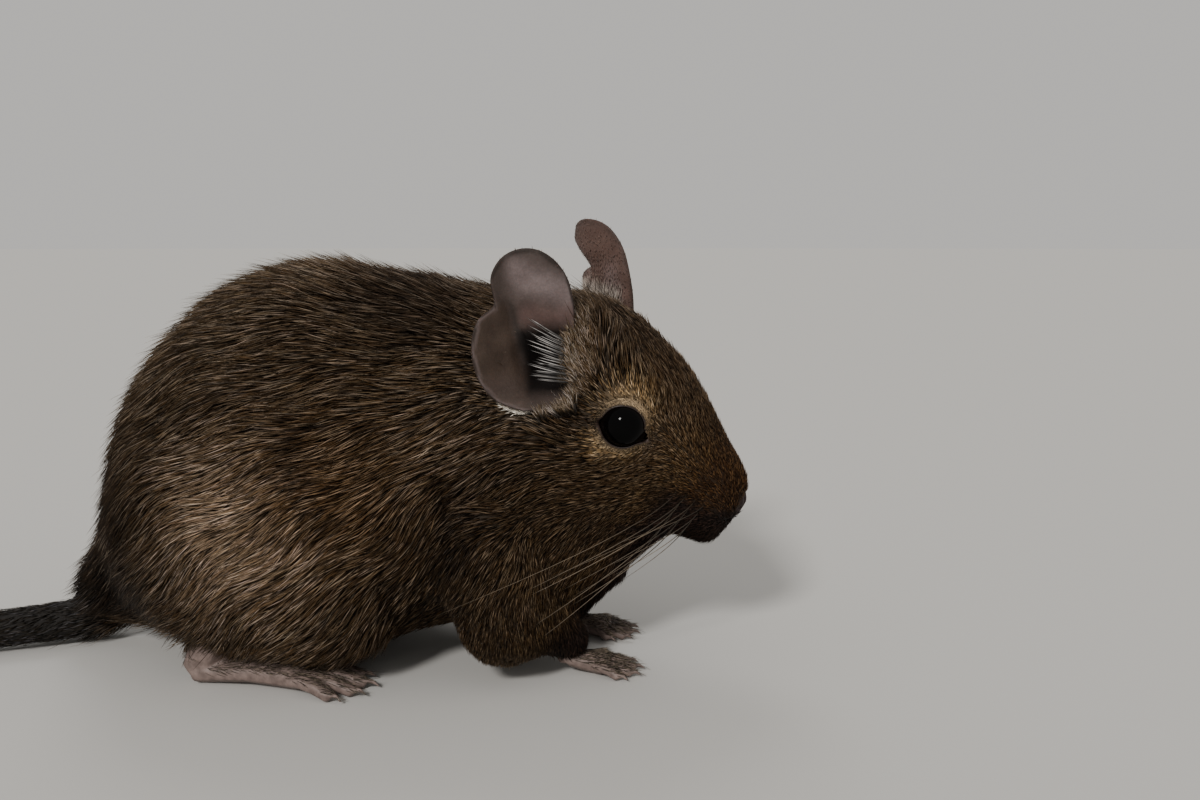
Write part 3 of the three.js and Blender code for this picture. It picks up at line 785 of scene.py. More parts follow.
def bent_spines(roots, normals, ways, lengths, lift, curl, shares):
    """Middle lines of hairs that leave the skin by lift, in degrees, and bend back to it by curl."""
    given = (lengths * MM, np.radians(lift), curl)
    lengths, lift, curl = (np.broadcast_to(values, len(roots))[:, None, None] for values in given)
    ways = unit(ways - normals * (ways * normals).sum(1, keepdims=True))
    shares = np.asarray(shares)[None, :, None]
    rise = normals[:, None] * (np.sin(lift) * shares - curl * shares**2)
    return roots[:, None] + lengths * (ways[:, None] * (np.cos(lift) * shares) + rise)


def build_hair(name, spines, normals, widths, tones, unwrap, material, slot="coat"):
    """A mesh of tapered three-sided hairs along middle lines that run from root to tip."""
    count, steps = spines.shape[:2]
    spines = spines.copy()
    floor = FLOOR_GAP * MM
    low = spines[..., 2] < floor
    spines[..., 2] = np.where(low, floor + FLOOR_GIVE * (spines[..., 2] - floor), spines[..., 2])
    spines[..., 1] = np.clip(spines[..., 1], cad_box[0][1] - SIDE_ROOM * MM, cad_box[1][1] + SIDE_ROOM * MM)
    ways = unit(np.gradient(spines, axis=1))
    across = unit(np.cross(ways, normals[:, None]))
    upright = np.cross(across, ways)
    shares = np.linspace(0, 1, steps)
    taper = 0.8 + 0.9 * shares - 1.5 * shares * shares
    half = (np.broadcast_to(widths, count) * MM)[:, None] / 2 * taper
    rings = []
    for k in range(steps - 1):
        for angle in np.radians((90, 210, 330)):
            side = across[:, k] * math.cos(angle) + upright[:, k] * math.sin(angle) * 0.6
            rings.append(spines[:, k] + side * half[:, k, None])
    vertices = np.stack([*rings, spines[:, -1]], 1)
    vertices[..., 2] = np.maximum(vertices[..., 2], floor / 3)
    per = (steps - 1) * 3 + 1
    faces = []
    for ring in range(0, per - 1, 3):
        for k in range(3):
            a, b = ring + k, ring + (k + 1) % 3
            faces.append((a, b, per - 1) if ring == per - 4 else (a, b, b + 3, a + 3))
    faces.append((2, 1, 0))
    pattern = np.concatenate(faces)
    first = np.concatenate([[0], np.cumsum([len(face) for face in faces])[:-1]])
    loops = (np.arange(count)[:, None] * per + pattern[None]).ravel()
    starts = (np.arange(count)[:, None] * len(pattern) + first[None]).ravel()
    mesh = bpy.data.meshes.new(name)
    mesh.vertices.add(count * per)
    mesh.vertices.foreach_set("co", vertices.astype(np.float32).ravel())
    mesh.loops.add(len(loops))
    mesh.loops.foreach_set("vertex_index", loops.astype(np.int32))
    mesh.polygons.add(len(starts))
    mesh.polygons.foreach_set("loop_start", starts.astype(np.int32))
    mesh.update(calc_edges=True)
    mesh.validate()
    piece = placed(name, mesh)
    along = np.concatenate([np.repeat(shares[:-1], 3), [1.0]])
    shift = (rng.random(count) - 0.5) * 0.24
    shifted = along[None] + shift[:, None] * np.sin(along * math.pi)[None]
    put_value(piece, "along", np.clip(shifted, 0, 1).ravel())
    put_tone(piece, np.repeat(tones, per, axis=0))
    place = np.concatenate([np.tile((0.0, 0.5, 1.0), steps - 1), [0.5]])
    patch = np.stack([place, along], 1)[pattern] * OFBAKE_PATCH
    spread = (unwrap[:, None] + patch[None]).reshape(-1, 2)
    mesh.uv_layers.new(name="OFBake").data.foreach_set("uv", spread.astype(np.float32).ravel())
    finish_piece(piece, material, slot)


def lay_hair(name, rooted, ways, lengths, lift, curl, shares, widths, tones, material, slot="coat"):
    """One piece of hairs on roots, normals and unwrap places, with lengths and widths in millimetres."""
    roots, normals, unwrap = rooted
    spines = bent_spines(roots, normals, ways, lengths, lift, curl, shares)
    build_hair(name, spines, normals, widths, tones, unwrap, material, slot)


def agouti(tones, count):
    """Each hair is drawn as dark, middling or light round the mean of its place, the light ones greyer."""
    kind = rng.random(count)[:, None]
    share = rng.random((count, 1))
    dark = (0.25 + 0.33 * share) * (1.14, 0.94, 0.65)
    middling = (0.8 + 0.5 * share) * (1.0, 0.99, 0.96)
    light = (1.6 + 1.1 * share) * (0.92, 1.0, 1.2)
    level = np.where(kind < 0.48, dark, np.where(kind < 0.8, middling, light))
    level = 1 + (level - 1) * (1 - 0.42 * ease(tones[:, :1], 0.1, 0.28))
    return tones * level * (1 + (rng.random((count, 3)) - 0.5) * (0.06, 0.03, 0.1))


def eye_gap(places):
    """How far a place lies outside the nearer opening of the lids, in millimetres."""
    gaps = []
    for side in SIDES:
        gap, turn, height = eye_polar(places, side)
        gaps.append(np.maximum(gap - lid_opening(turn), np.abs(height) - 5))
    return np.minimum(*gaps)


def hair_length(places, head):
    face = (4.2 - 2.7 * ease(head[:, 0], -34, -6)) * (0.4 + 0.6 * ease(eye_gap(places), 0.3, 5))
    body = 5.5 + 1.3 * ease(-places[:, 0], 60, 85) - 2.2 * ease(-places[:, 2], -12, -4)
    body = body * (1 - 0.6 * on_foreleg(places))
    face_share = on_face(head, -42)
    length = body * (1 - face_share) + face * face_share
    length = length * (1 - 0.3 * np.clip(1.5 * on_crown(head), 0, 1))
    on_tail = ease(-places[:, 0], 86, 94) * ease(-places[:, 2], -18, -9)
    return length * (1 - on_tail) + 2.4 * on_tail


def ear_clearance(places, ears):
    """Shortens hair beside an ear, except in front of it, where the fur covers the ear's edge."""
    points = np.vstack([points_of(ear) for ear in ears])
    tree = KDTree(len(points))
    for k, point in enumerate(points):
        tree.insert(Vector(point), k)
    tree.balance()
    gap = np.array([tree.find(Vector(p))[2] for p in to_frame(places)]) / MM
    front = np.zeros(len(places))
    for side in SIDES:
        local = ear_places(places, side)
        beside = (local[:, 1] < 9) * (np.abs(local[:, 2]) < 12)
        front = np.maximum(front, ease(-local[:, 0], 2, 3.5) * beside)
    return np.maximum(0.35 + 0.65 * ease(gap, 0.3, 4), 0.8 * front)


COAT_PLACES = ("tail", "rump", "hind", "haunch", "flank", "shoulder", "neck", "cheek", "face")


def comb_coat(skin, ears, hair):
    """Lays the coat over the whole skin in pieces from tail to nose."""
    places = from_frame(points_of(skin))
    head = to_head(places)
    ahead = ease(head[:, 0], -34, -12)
    density = 1 + 2.6 * ahead + 0.35 * near(places, (-55, -26, 30), (30, 12, 30))
    density *= ease(eye_gap(places), 0.35, 0.6)
    density *= 1 - ease(near(head, NOSE_PLACE + (0.5, 0, 0), (2.6, 3.3, 2.8)), 0.2, 0.5)
    density *= 1 - 0.8 * near(head, (-2, 0, -4.5), (3, 0.6, 3))
    density *= 1 - 0.45 * ease(-normals_of(skin)[:, 2], 0.5, 0.85) * (1 - ahead)
    roots, normals, unwrap = scatter(skin, TUFTS, density)
    places = from_frame(roots)
    head = to_head(places)
    lengths = hair_length(places, head) * (0.7 + 0.6 * rng.random(TUFTS)) * ear_clearance(places, ears)
    ways = lie_of_coat(places, normals)
    wave = 0.16 * np.sin(places @ (0.31, 0.12, 0.22)) + 0.12 * np.sin(places @ (-0.17, 0.4, 0.52) + 2)
    ways = unit(ways + np.cross(normals, ways) * (wave + rng.normal(0, 0.13, TUFTS))[:, None])
    ways, home = clumped(roots, ways, lengths * MM)
    clump_level = 0.75 + 0.5 * rng.random(home.max() + 1)
    tones = agouti(markings(places), TUFTS) * clump_level[home][:, None]
    ahead = ease(head[:, 0], -34, -10)
    on_tail = ease(-places[:, 0], 88, 94)
    widths = (0.215 - 0.065 * ahead - 0.04 * on_tail) * (0.8 + 0.5 * rng.random(TUFTS))
    lift = 23 - 5 * ahead - 11 * on_tail - 7 * np.clip(1.5 * on_crown(head), 0, 1) + rng.normal(0, 5, TUFTS)
    spines = bent_spines(roots, normals, ways, lengths, lift, 0.15 - 0.03 * ahead, (0, 0.48, 1))
    spines[:, 0] -= normals * 0.15 * MM
    for place, part in zip(COAT_PLACES, np.array_split(np.argsort(places[:, 0]), len(COAT_PLACES))):
        build_hair(f"coat_{place}", *(v[part] for v in (spines, normals, widths, tones, unwrap)), hair)


def guard_hairs(skin, hair):
    """Longer single hairs that stand off the back, rump and haunch."""
    places = from_frame(points_of(skin))
    head = to_head(places)
    density = 0.25 + ease(places[:, 2], 40, 62)
    density += 1.5 * ease(-places[:, 0], 66, 82) * ease(places[:, 2], 10, 20)
    density *= ease(-head[:, 0], 30, 48) * ease(-places[:, 0], -12, 4) * (1 - ease(-places[:, 0], 88, 92))
    count = GUARD_HAIRS
    rooted = roots, normals, _ = scatter(skin, count, density)
    ways = lie_of_coat(from_frame(roots), normals)
    ways = unit(ways + np.cross(normals, ways) * rng.normal(0, 0.16, count)[:, None])
    lengths = 5.8 + 2.6 * rng.random(count)
    tones = np.where(rng.random((count, 1)) < 0.3, (0.15, 0.118, 0.088), DARK * 1.2)
    lift = 25 + rng.normal(0, 5, count)
    lay_hair("coat_guard_hairs", rooted, ways, lengths, lift, 0.12, (0, 0.35, 0.7, 1), 0.12, tones, hair)


# Eyes
def make_eye(side, gloss):
    """A ball with a slightly raised cornea, at the place of the solid eye."""
    ball = {"segments": 64, "ring_count": 40, "radius": EYE_RADIUS * MM}
    eye = primitive(bpy.ops.mesh.primitive_uv_sphere_add, f"eyeball_{side}", **ball)
    out = eye_axes(side)[0]
    points = points_of(eye) @ np.array(Vector(out).to_track_quat("Z", "Y").to_matrix()).T
    facing = unit(points) @ out
    points *= (1 + 0.045 * ease(facing, 0.55, 1))[:, None]
    move_points(eye, points + eye_centre(side))
    put_value(eye, "pupil", np.degrees(np.arccos(np.clip(facing, -1, 1))) / 90)
    finish_piece(eye, gloss, "eye", f"eye_{side}")


def make_lids(side, skin_tree, lid_skin):
    """A band of bare skin from the opening of the lids out to the fur, with its corners to nose and ear."""
    centre = eye_centre(side)
    out, ahead, up = eye_axes(side)
    half = 0.2
    ring = {"major_segments": 96, "minor_segments": 18, "major_radius": 1, "minor_radius": half}
    lids = primitive(bpy.ops.mesh.primitive_torus_add, f"eyelids_{side}", **ring)
    template = points_of(lids)
    turn = np.arctan2(template[:, 1], template[:, 0])
    share = ((np.linalg.norm(template[:, :2], axis=1) - 1) / half + 1) / 2
    thick = template[:, 2] / half
    inner = lid_opening(turn)
    outer = inner + LID_BAND
    places = []
    for k in range(len(template)):
        way = ahead * math.cos(turn[k]) + up * math.sin(turn[k])
        start = Vector(centre + (way * (outer[k] + 0.5) + out * 9) * MM)
        hit = skin_tree.ray_cast(start, Vector(-out))[0]
        high = ((np.array(hit) - centre) @ out / MM if hit is not None else 0) + 0.15
        low = max(math.sqrt(max((EYE_RADIUS + 0.06) ** 2 - inner[k] ** 2, 0)), 0.2)
        rim = 0.12 * math.exp(-(((share[k] - 0.2) / 0.25) ** 2))
        level = low + (high - low) * share[k] + rim + 0.12 * thick[k]
        gap = inner[k] + (outer[k] - inner[k]) * share[k]
        places.append(centre + (way * gap + out * level) * MM)
    move_points(lids, places)
    brown = bump_at(turn, REAR_CORNER, 16) + bump_at(turn, FRONT_CORNER, 16)
    corners = np.clip(bump_at(turn, REAR_CORNER, 22) + bump_at(turn, FRONT_CORNER, 20), 0, 1)
    tone = np.tile((0.022, 0.014, 0.012), (len(template), 1))
    tone = blended(tone, np.array((0.055, 0.036, 0.03)), 0.8 * brown)
    tone = blended(tone, np.array((0.125, 0.088, 0.052)), 0.75 * (ease(share, 0.2, 0.4) * (1 - corners)))
    tone = blended(tone, markings(from_frame(np.array(places))) * 0.5, 0.9 * ease(share, 0.6, 0.8))
    put_tone(lids, tone)
    put_value(lids, "haired", ease(share, 0.12, 0.4) * (thick > -0.2) * (1 - 0.85 * corners))
    finish_piece(lids, lid_skin, "eye")
    return lids


def lid_hair(side, lids, hair):
    """Short fine hairs that lie over the outer half of the lids, pale over the eye and under it."""
    count = LID_HAIRS
    rooted = scatter(lids, count, read(lids.data.attributes["haired"].data, "value", 1)[:, 0])
    places = from_frame(rooted[0])
    gap, turn, _ = eye_polar(places, side)
    _, ahead, up = eye_axes(side)
    away = np.cos(turn)[:, None] * ahead + np.sin(turn)[:, None] * up
    ways = away * 0.75 - ahead * 0.55 + up * 0.1 + rng.normal(0, 0.14, (count, 3))
    lengths = (0.7 + 1.1 * ease(gap - lid_opening(turn), 0.25, 0.9)) * (0.7 + 0.6 * rng.random(count))
    pale = np.clip(bump_at(turn, 80, 62) + 0.75 * bump_at(turn, 225, 30) + 0.5 * bump_at(turn, 280, 50), 0, 1)
    tones = blended(markings(places), np.array((0.52, 0.39, 0.25)), 0.85 * pale)
    tones = tones * (0.45 + 0.9 * rng.random(count))[:, None]
    lift = 13 + rng.normal(0, 4, count)
    lay_hair(f"lid_hair_{side}", rooted, ways, lengths, lift, 0.1, (0, 0.5, 1), 0.1, tones, hair)


# Nose
NOSE_PLACE = np.array((-1.15, 0, 1.5))
NOSE_TILT = math.radians(20)


def make_nose(material):
    """The bare pad: two lobes with a groove between them and a comma-shaped nostril in each."""
    ball = {"segments": 96, "ring_count": 64, "radius": 1}
    nose = primitive(bpy.ops.mesh.primitive_uv_sphere_add, "nose_pad", **ball)
    depth, across, high = points_of(nose).T
    front = depth > 0
    x, y, z = depth * 1.5, across * 2.6 * (1 - 0.3 * ease(-high, 0.1, 1)), high * 2.1
    wide = np.abs(y)
    x += 0.16 * np.cos(np.clip(wide - 1.2, -1.2, 1.6) * 1.7) * front
    x -= 0.4 * ridge(y, 0, 0.22) * front
    opening = np.exp(-((((wide - 1.35) / 0.55) ** 2) + ((z + 0.15 - 0.5 * (wide - 1.35)) / 0.34) ** 2))
    slit = np.exp(-((((wide - 2.0) / 0.6) ** 2) + ((z - 0.45 - 0.7 * (wide - 2.0)) / 0.2) ** 2))
    x -= (1.1 * opening + 0.55 * slit) * front
    # The nostrils' hollows, which the nose's material fills with painted shade
    put_value(nose, "hollow", np.clip(opening + slit, 0, 1))
    cos, sin = math.cos(NOSE_TILT), math.sin(NOSE_TILT)
    move_points(nose, to_frame(on_head(np.stack([x * cos - z * sin, y, x * sin + z * cos], 1) + NOSE_PLACE)))
    finish_piece(nose, material, "ear_skin")


# Ears: the root and axes in the head's frame, and the rim rearward and upward from the root
EAR_ROOT = np.array((-37.3, 16, 7.4))
EAR_UP = np.array((-0.6, -0.2, 0.77))
EAR_OUT = np.array((0.2, 0.9, 0.38))
LEFT_EAR_DROP = 1.2
EAR_RIM = np.array(
    [(-4.1, -0.6), (-4.3, 4.8), (-4.2, 10.3), (-2.8, 15.9), (1.6, 19.4), (6.4, 18.6), (8.9, 14.6), (8, 10.6)]
    + [(10.7, 8.6), (11.8, 3.8), (10.6, -1.2), (7.8, -4.4), (3.8, -5.9), (-0.4, -5.6), (-3.2, -3.8)]
)
CANAL = np.array((0.2, 0.4))
EAR_SLATE = np.array((0.056, 0.041, 0.035))
EAR_LILAC = np.array((0.165, 0.128, 0.124))
EAR_PINK = np.array((0.105, 0.064, 0.056))
EAR_BROWN = np.array((0.044, 0.029, 0.021))
EAR_BACK = np.array((0.105, 0.064, 0.052))
EAR_BLACK = np.array((0.006, 0.004, 0.0035))


def ear_axes(side):
    """Rearward, upward and outward ways of an ear, and its root, in body millimetres."""
    mirror = (1, SIDES[side], 1)
    up = unit(head_way(EAR_UP * mirror))
    out = head_way(EAR_OUT * mirror)
    out = unit(out - up * (out @ up))
    rear = unit(np.cross(up, out) * SIDES[side])
    root = on_head(EAR_ROOT * mirror)
    if side == "left":
        root = root - up * LEFT_EAR_DROP
    return rear, up, out, root


def ear_places(places, side):
    """Body places in the ear's own axes: rearward, upward and outward from its root."""
    rear, up, out, root = ear_axes(side)
    offset = places - root
    return np.stack([offset @ rear, offset @ up, offset @ out], 1)


def rim_reach(local):
    """How far a place on an ear lies from the canal, as a share of the way to the rim."""
    loop = np.vstack([EAR_RIM, EAR_RIM[:1]])
    share = np.linspace(0, len(EAR_RIM), 240, endpoint=False)
    step = share.astype(int)
    spokes = loop[step] + (loop[step + 1] - loop[step]) * (share - step)[:, None] - CANAL
    angles = np.arctan2(spokes[:, 1], spokes[:, 0])
    order = np.argsort(angles)
    offset = local[:, :2] - CANAL
    angle = np.arctan2(offset[:, 1], offset[:, 0])
    limit = np.interp(angle, angles[order], np.linalg.norm(spokes, axis=1)[order], period=2 * math.pi)
    return np.clip(np.linalg.norm(offset, axis=1) / limit, 0, 1)


def make_ear(side, material):
    """The solid ear's sheet with finer faces, its rim rounded and its skin creased."""
    ear = copy_of([f"ear_{side}"], f"ear_shell_{side}")
    limit = math.radians(60)
    edit(ear, bpy.ops.mesh.tris_convert_to_quads, face_threshold=limit, shape_threshold=limit)
    apply(ear, "SUBSURF", levels=2, render_levels=2)
    rear, up, out, root = ear_axes(side)
    local = ear_places(from_frame(points_of(ear)), side)
    reach = rim_reach(local)
    x, y = local[:, 0], local[:, 1]
    crease = ridge(x, 5.4 + 0.2 * (y - 7), 0.9) * ease(y, -1, 2) * (1 - ease(y, 9.5, 12))
    local[:, 2] -= 0.55 * crease
    local[:, 2] += 1.0 * ease(x, 6.5, 10.5) * (1 - ease(y, 8, 12))
    ripple = np.sin(y * 1.1 + x * 0.5)
    local[:, 2] += 0.12 * ripple * ease(reach, 0.3, 0.6) * (1 - ease(reach, 0.8, 1))
    outer = ease(-(normals_of(ear) @ out), -0.1, 0.25)
    put_value(ear, "outer", outer)
    put_tone(ear, ear_tone(local, reach, outer))
    if side == "left":
        lobe = 1.6 * ease(x, 0, 8) * ease(y, 11.5, 14.5)
        notch = 2.5 * ease(x, 2, 8) * ridge(y, 9.6, 2.0)
        local[:, 0] += lobe - notch
    moved = root + local[:, :1] * rear + local[:, 1:2] * up + local[:, 2:] * out
    move_points(ear, to_frame(moved))
    finish_piece(ear, material, "ear_skin", f"ear_{side}")
    return ear


def ear_tone(local, reach, outer):
    """A slate hollow with a painted lilac sheen, pink-brown over the canal, painted shade in the canal and
    along the rear lobe's crease, painted shadow towards the front edge and brown to the rear; a plain back.
    """
    rear, up = local[:, 0], local[:, 1]
    slope = 0.2 * (up - 7)
    # Painted sheen: a band of lilac light across the upper hollow
    painted_sheen = ridge(up - 13.4 - 0.42 * rear, 0, 2.7) * (1 - ease(rear, 4.5, 7.5))
    lobe = ease(rear, 5.0 + slope, 6.2 + slope) * (1 - ease(up, 9.5, 12.5))
    low = (1 - ease(up, -1.5, 1.5)) * ease(rear, 2.2, 4)
    # Painted shade in the crease along the rear lobe's inner edge
    fold_shade = ridge(rear, 4.9 + slope, 0.5) * (1 - ease(up, 9, 12)) * ease(up, 2, 5)
    edge = 0.25 * np.maximum(up, 0)
    # Painted shade: the ear canal's opening is painted near black on the sheet
    canal = ease(rear, -4.2, -2.6) * (1 - ease(rear, 2.6 + edge, 4.2 + edge))
    canal = canal * ease(up, -4.6, -2.6) * (1 - ease(up, 5.8, 7.2))
    pale_edge = ease(reach, 0.93, 0.96) * (1 - ease(reach, 0.97, 0.985)) * lobe
    tone = np.tile(EAR_SLATE, (len(local), 1))
    for colour, share in (
        (EAR_LILAC, painted_sheen),
        (EAR_PINK, 0.85 * ridge(up, 8.8, 1.9) * (1 - ease(rear, 3.5, 5.5))),
        (EAR_BROWN, np.maximum(lobe, low) * 0.95),
        (EAR_SLATE, 0.6 * (1 - ease(up, -3, 1)) * ease(rear, 2, 4)),
        (EAR_BROWN * 0.45, 0.7 * fold_shade),
        (EAR_BLACK, canal),
        (EAR_BROWN * 0.4, 0.85 * ease(reach, 0.945, 0.985)),
        (EAR_LILAC * 0.8, 0.5 * pale_edge),
    ):
        tone = blended(tone, colour, share)
    # Lighter over the rear lobe; the darkening towards the front edge is painted shadow
    tone = tone * (1 + 0.2 * lobe - 0.12 * (1 - ease(rear, -2, 2)))[:, None]
    back = np.tile(EAR_BACK, (len(local), 1))
    back = blended(back, EAR_LILAC * 1.25, 0.6 * near(local[:, :2], (-0.8, 8.6), (2.2, 4.5)))
    return blended(tone, back, outer * (1 - 0.5 * ease(reach, 0.9, 1)))


def ear_border_fur(side, skin_tree, fur):
    """Fur in front of an ear that rises over its front rim, and a pale fringe under its lower rim."""
    rear, up, out, root = ear_axes(side)
    front, corner, under = FRONT_FUR, CORNER_FUR, UNDER_FUR
    count = front + corner + under
    high = -4.6 + 14.2 * rng.random(front)
    back = -3.5 - 4.8 * rng.random(front) ** 1.9 + 0.9 * (1 - ease(high, -4.6, -1.5))
    turn = np.radians(-116 + 66 * rng.random(under) ** 1.3)
    low_rear = 3.2 + (4.7 + rng.random(under)) * np.cos(turn)
    low = [low_rear, -0.6 + (5.2 + 0.9 * rng.random(under)) * np.sin(turn)]
    below = -4.6 + 5.8 * rng.random(corner)
    bend = [below, -4.3 - 0.22 * (below + 4.6) - 2.3 * rng.random(corner)]
    flat = np.hstack([[back, high], bend, low]).T
    roots, normals = [], []
    for k, (one_rear, one_up) in enumerate(flat):
        start = root + rear * one_rear + up * one_up + out * 7
        if side == "left" and k >= front + corner:
            hit = skin_tree.find_nearest(Vector(to_frame(start - out * 6)))
        else:
            hit = skin_tree.ray_cast(Vector(to_frame(start)), Vector(-out))
        roots.append(hit[0] if hit[0] is not None else Vector(to_frame(start - out * 8)))
        normals.append(hit[1] if hit[0] is not None else Vector(out))
    roots, normals = np.array(roots), unit(np.array(normals))
    roots[front:] += out * 0.85 * MM
    ways = np.tile(rear * 0.42 + up * 0.85, (count, 1)) + up * (0.03 * flat[:, 1:])
    ways = ways + rng.normal(0, 0.2, (count, 3))
    ways[:front] += rear * (0.35 * (1 - ease(high, -4, 1)))[:, None]
    ways[-under:] = rear * 0.95 - up * 0.1 + rng.normal(0, 0.22, (under, 3))
    lift = np.where(np.arange(count) < front, 31, 38) + rng.normal(0, 6, count)
    lengths = 2.4 + 1.6 * rng.random(count)
    lengths[front:] = 2.9 + 0.9 * rng.random(corner + under)
    lengths[-under:] = 1.7 + 0.9 * rng.random(under)
    pale = 1 - 0.75 * ease(-flat[:, 0], 4.6, 7.6)
    tones = agouti(blended(markings(from_frame(roots)), np.array((0.15, 0.118, 0.086)), pale), count)
    fringe = np.array((0.85, 0.79, 0.70)) * (0.55 + 0.6 * rng.random(under))[:, None]
    # Painted shade: the fringe under the far ear is darker than the same fur under the near one
    tones[-under:] = fringe * (0.4 if side == "left" else 1)
    widths = np.where(np.arange(count) < front + corner, 0.16, 0.2)
    rooted = roots, normals, 0.5 + rng.random((count, 2)) * 0.01
    lay_hair(f"ear_border_fur_{side}", rooted, ways, lengths, lift, 0.22, (0, 0.48, 1), widths, tones, fur)


def canal_hairs(side, pale):
    """White hairs that arch over the canal from the ear's front edge."""
    rear, up, out, root = ear_axes(side)
    count = CANAL_HAIRS
    strand = np.repeat(np.arange(count // 2), 2)
    height = -1.9 + 6.4 * (strand + 0.6 * rng.random(count)) / (count / 2)
    begin = -4.5 + 1.1 * rng.random(count) + 0.035 * (height - 2) ** 2
    reach = (5.2 + 2.2 * rng.random(count // 2))[strand] * (0.85 + 0.25 * rng.random(count))
    slope = 0.12 + 0.085 * (height + 2) + rng.normal(0, 0.05, count)
    shares = np.linspace(0, 1, 7)[None, :]
    along = begin[:, None] + reach[:, None] * shares
    sag = (0.45 * rng.random(count))[:, None]
    climb = height[:, None] + (slope * reach)[:, None] * shares - sag * shares**2
    level = -0.9 + (2.0 * np.sin(shares * 2.1)) * (0.7 + 0.3 * rng.random(count))[:, None] - 0.4 * shares
    spines = to_frame(root + np.stack([along, climb, level], -1) @ np.stack([rear, up, out]))
    grey = (0.1 + 0.45 * rng.random(count) ** 1.5)[:, None] * (1.0, 0.96, 0.94)
    unwrap = 0.5 + rng.random((count, 2)) * 0.01
    widths = 0.12 + 0.12 * rng.random(count)
    build_hair(f"ear_canal_hairs_{side}", spines, np.tile(out, (count, 1)), widths, grey, unwrap, pale)


def ear_velvet(side, ear, fur):
    """Short hair on the back and rim of an ear, longer and silvery at its base."""
    rear, up = ear_axes(side)[:2]
    count = VELVET_HAIRS
    outer = read(ear.data.attributes["outer"].data, "value", 1)[:, 0]
    local = ear_places(from_frame(points_of(ear)), side)
    reach = rim_reach(local)
    base = (1 - ease(local[:, 1], 4.5, 9)) * (1 - ease(reach, 0.6, 0.85))
    density = outer * (1.25 - reach) * (0.8 + 1.4 * base) + 0.12 * ease(reach, 0.95, 1)
    rooted = scatter(ear, count, density)
    local = ear_places(from_frame(rooted[0]), side)
    reach = rim_reach(local)
    ways = unit(unit(local[:, :1] * rear + local[:, 1:2] * up) + up * 0.6)
    base = (1 - ease(local[:, 1], 5, 9.5)) * (1 - ease(reach, 0.6, 0.85))
    tones = blended(np.tile((0.16, 0.11, 0.092), (count, 1)), np.array((0.43, 0.375, 0.33)), base)
    tones = tones * (0.8 + 0.4 * rng.random(count) - 0.3 * base * rng.random(count))[:, None]
    lengths = (1.4 - 0.9 * reach + 1.9 * base) * (0.7 + 0.6 * rng.random(count))
    lift = 18 + rng.normal(0, 5, count)
    lay_hair(f"ear_velvet_{side}", rooted, ways, lengths, lift, 0.1, (0, 0.5, 1), 0.1, tones, fur)


# Feet: lengths of the toes, spread in degrees, width of the palm, radius of a toe and length of a claw
FEET = {
    "hindfoot": ((8.5, 11, 11.5, 10, 6.5), 42, 8.6, 1.25, 2.9),
    "forefoot": ((4.4, 6.2, 6.6, 5.8, 3.2), 58, 6.2, 0.95, 2.2),
}


def make_foot(name, foot_skin):
    """A solid foot with its facets smoothed into pads and toes. Its claws are pieces of their own."""
    foot = copy_of([name], f"{name}_skin")
    apply(foot, "REMESH", mode="VOXEL", voxel_size=FOOT_GRID * MM)
    apply(foot, "SMOOTH", factor=0.5, iterations=6)
    finish_piece(foot, foot_skin, "foot_skin", name)
    return foot


def toe_tips(kind, side):
    """Tip and way of each toe, as the solids lay them out."""
    sign = SIDES[side]
    if kind == "hindfoot":
        heel, palm = np.array((-66, sign * 17, 0.0)), np.array((-48, sign * 19.5, 0.0))
    else:
        heel, palm = np.array((-5, sign * 9.4 - 4, 0.0)), np.array((0.6, sign * 9 - 4.4, 0.0))
    toes, spread, width, radius, _ = FEET[kind]
    ahead = unit(palm - heel)
    across = np.array((-ahead[1], ahead[0], 0))
    tips = []
    for i, length in enumerate(toes[::-1] if sign > 0 else toes):
        place = (i - (len(toes) - 1) / 2) / (len(toes) - 1)
        angle = place * math.radians(spread)
        way = ahead * math.cos(angle) + across * math.sin(angle)
        root = palm + across * place * width * 0.72 - ahead * 1.5
        tips.append((root + way * length + np.array((0, 0, radius * 0.7)), way))
    return tips


def make_claws(kind, side, horn):
    """Short curved claws, one to a toe, each bent from a cone."""
    radius, length = FEET[kind][3:]
    wide = 0.52 * radius
    cone = {"vertices": 12, "radius1": 1, "radius2": 0.06, "depth": 1, "end_fill_type": "NGON"}
    claws = []
    for tip, way in toe_tips(kind, side):
        claw = primitive(bpy.ops.mesh.primitive_cone_add, f"{kind}_claws_{side}", (0, 0, 0.5), **cone)
        bpy.ops.object.transform_apply(location=True)
        edit(claw, bpy.ops.mesh.subdivide, number_cuts=5)
        shape = points_of(claw)
        share = shape[:, 2]
        across = np.cross(way, (0, 0, 1))
        arch = 0.45 * np.sin(share * math.pi * 0.7) - 1.1 * share**2
        place = tip + way * ((share - 0.15) * length)[:, None] + across * (shape[:, 0] * wide * 0.75)[:, None]
        place[:, 2] += shape[:, 1] * wide + arch * 0.55 + 0.25
        place[:, 2] = np.maximum(place[:, 2], 0.05)
        move_points(claw, to_frame(place))
        claws.append(claw)
    finish_piece(join(*claws), horn, "foot_skin")


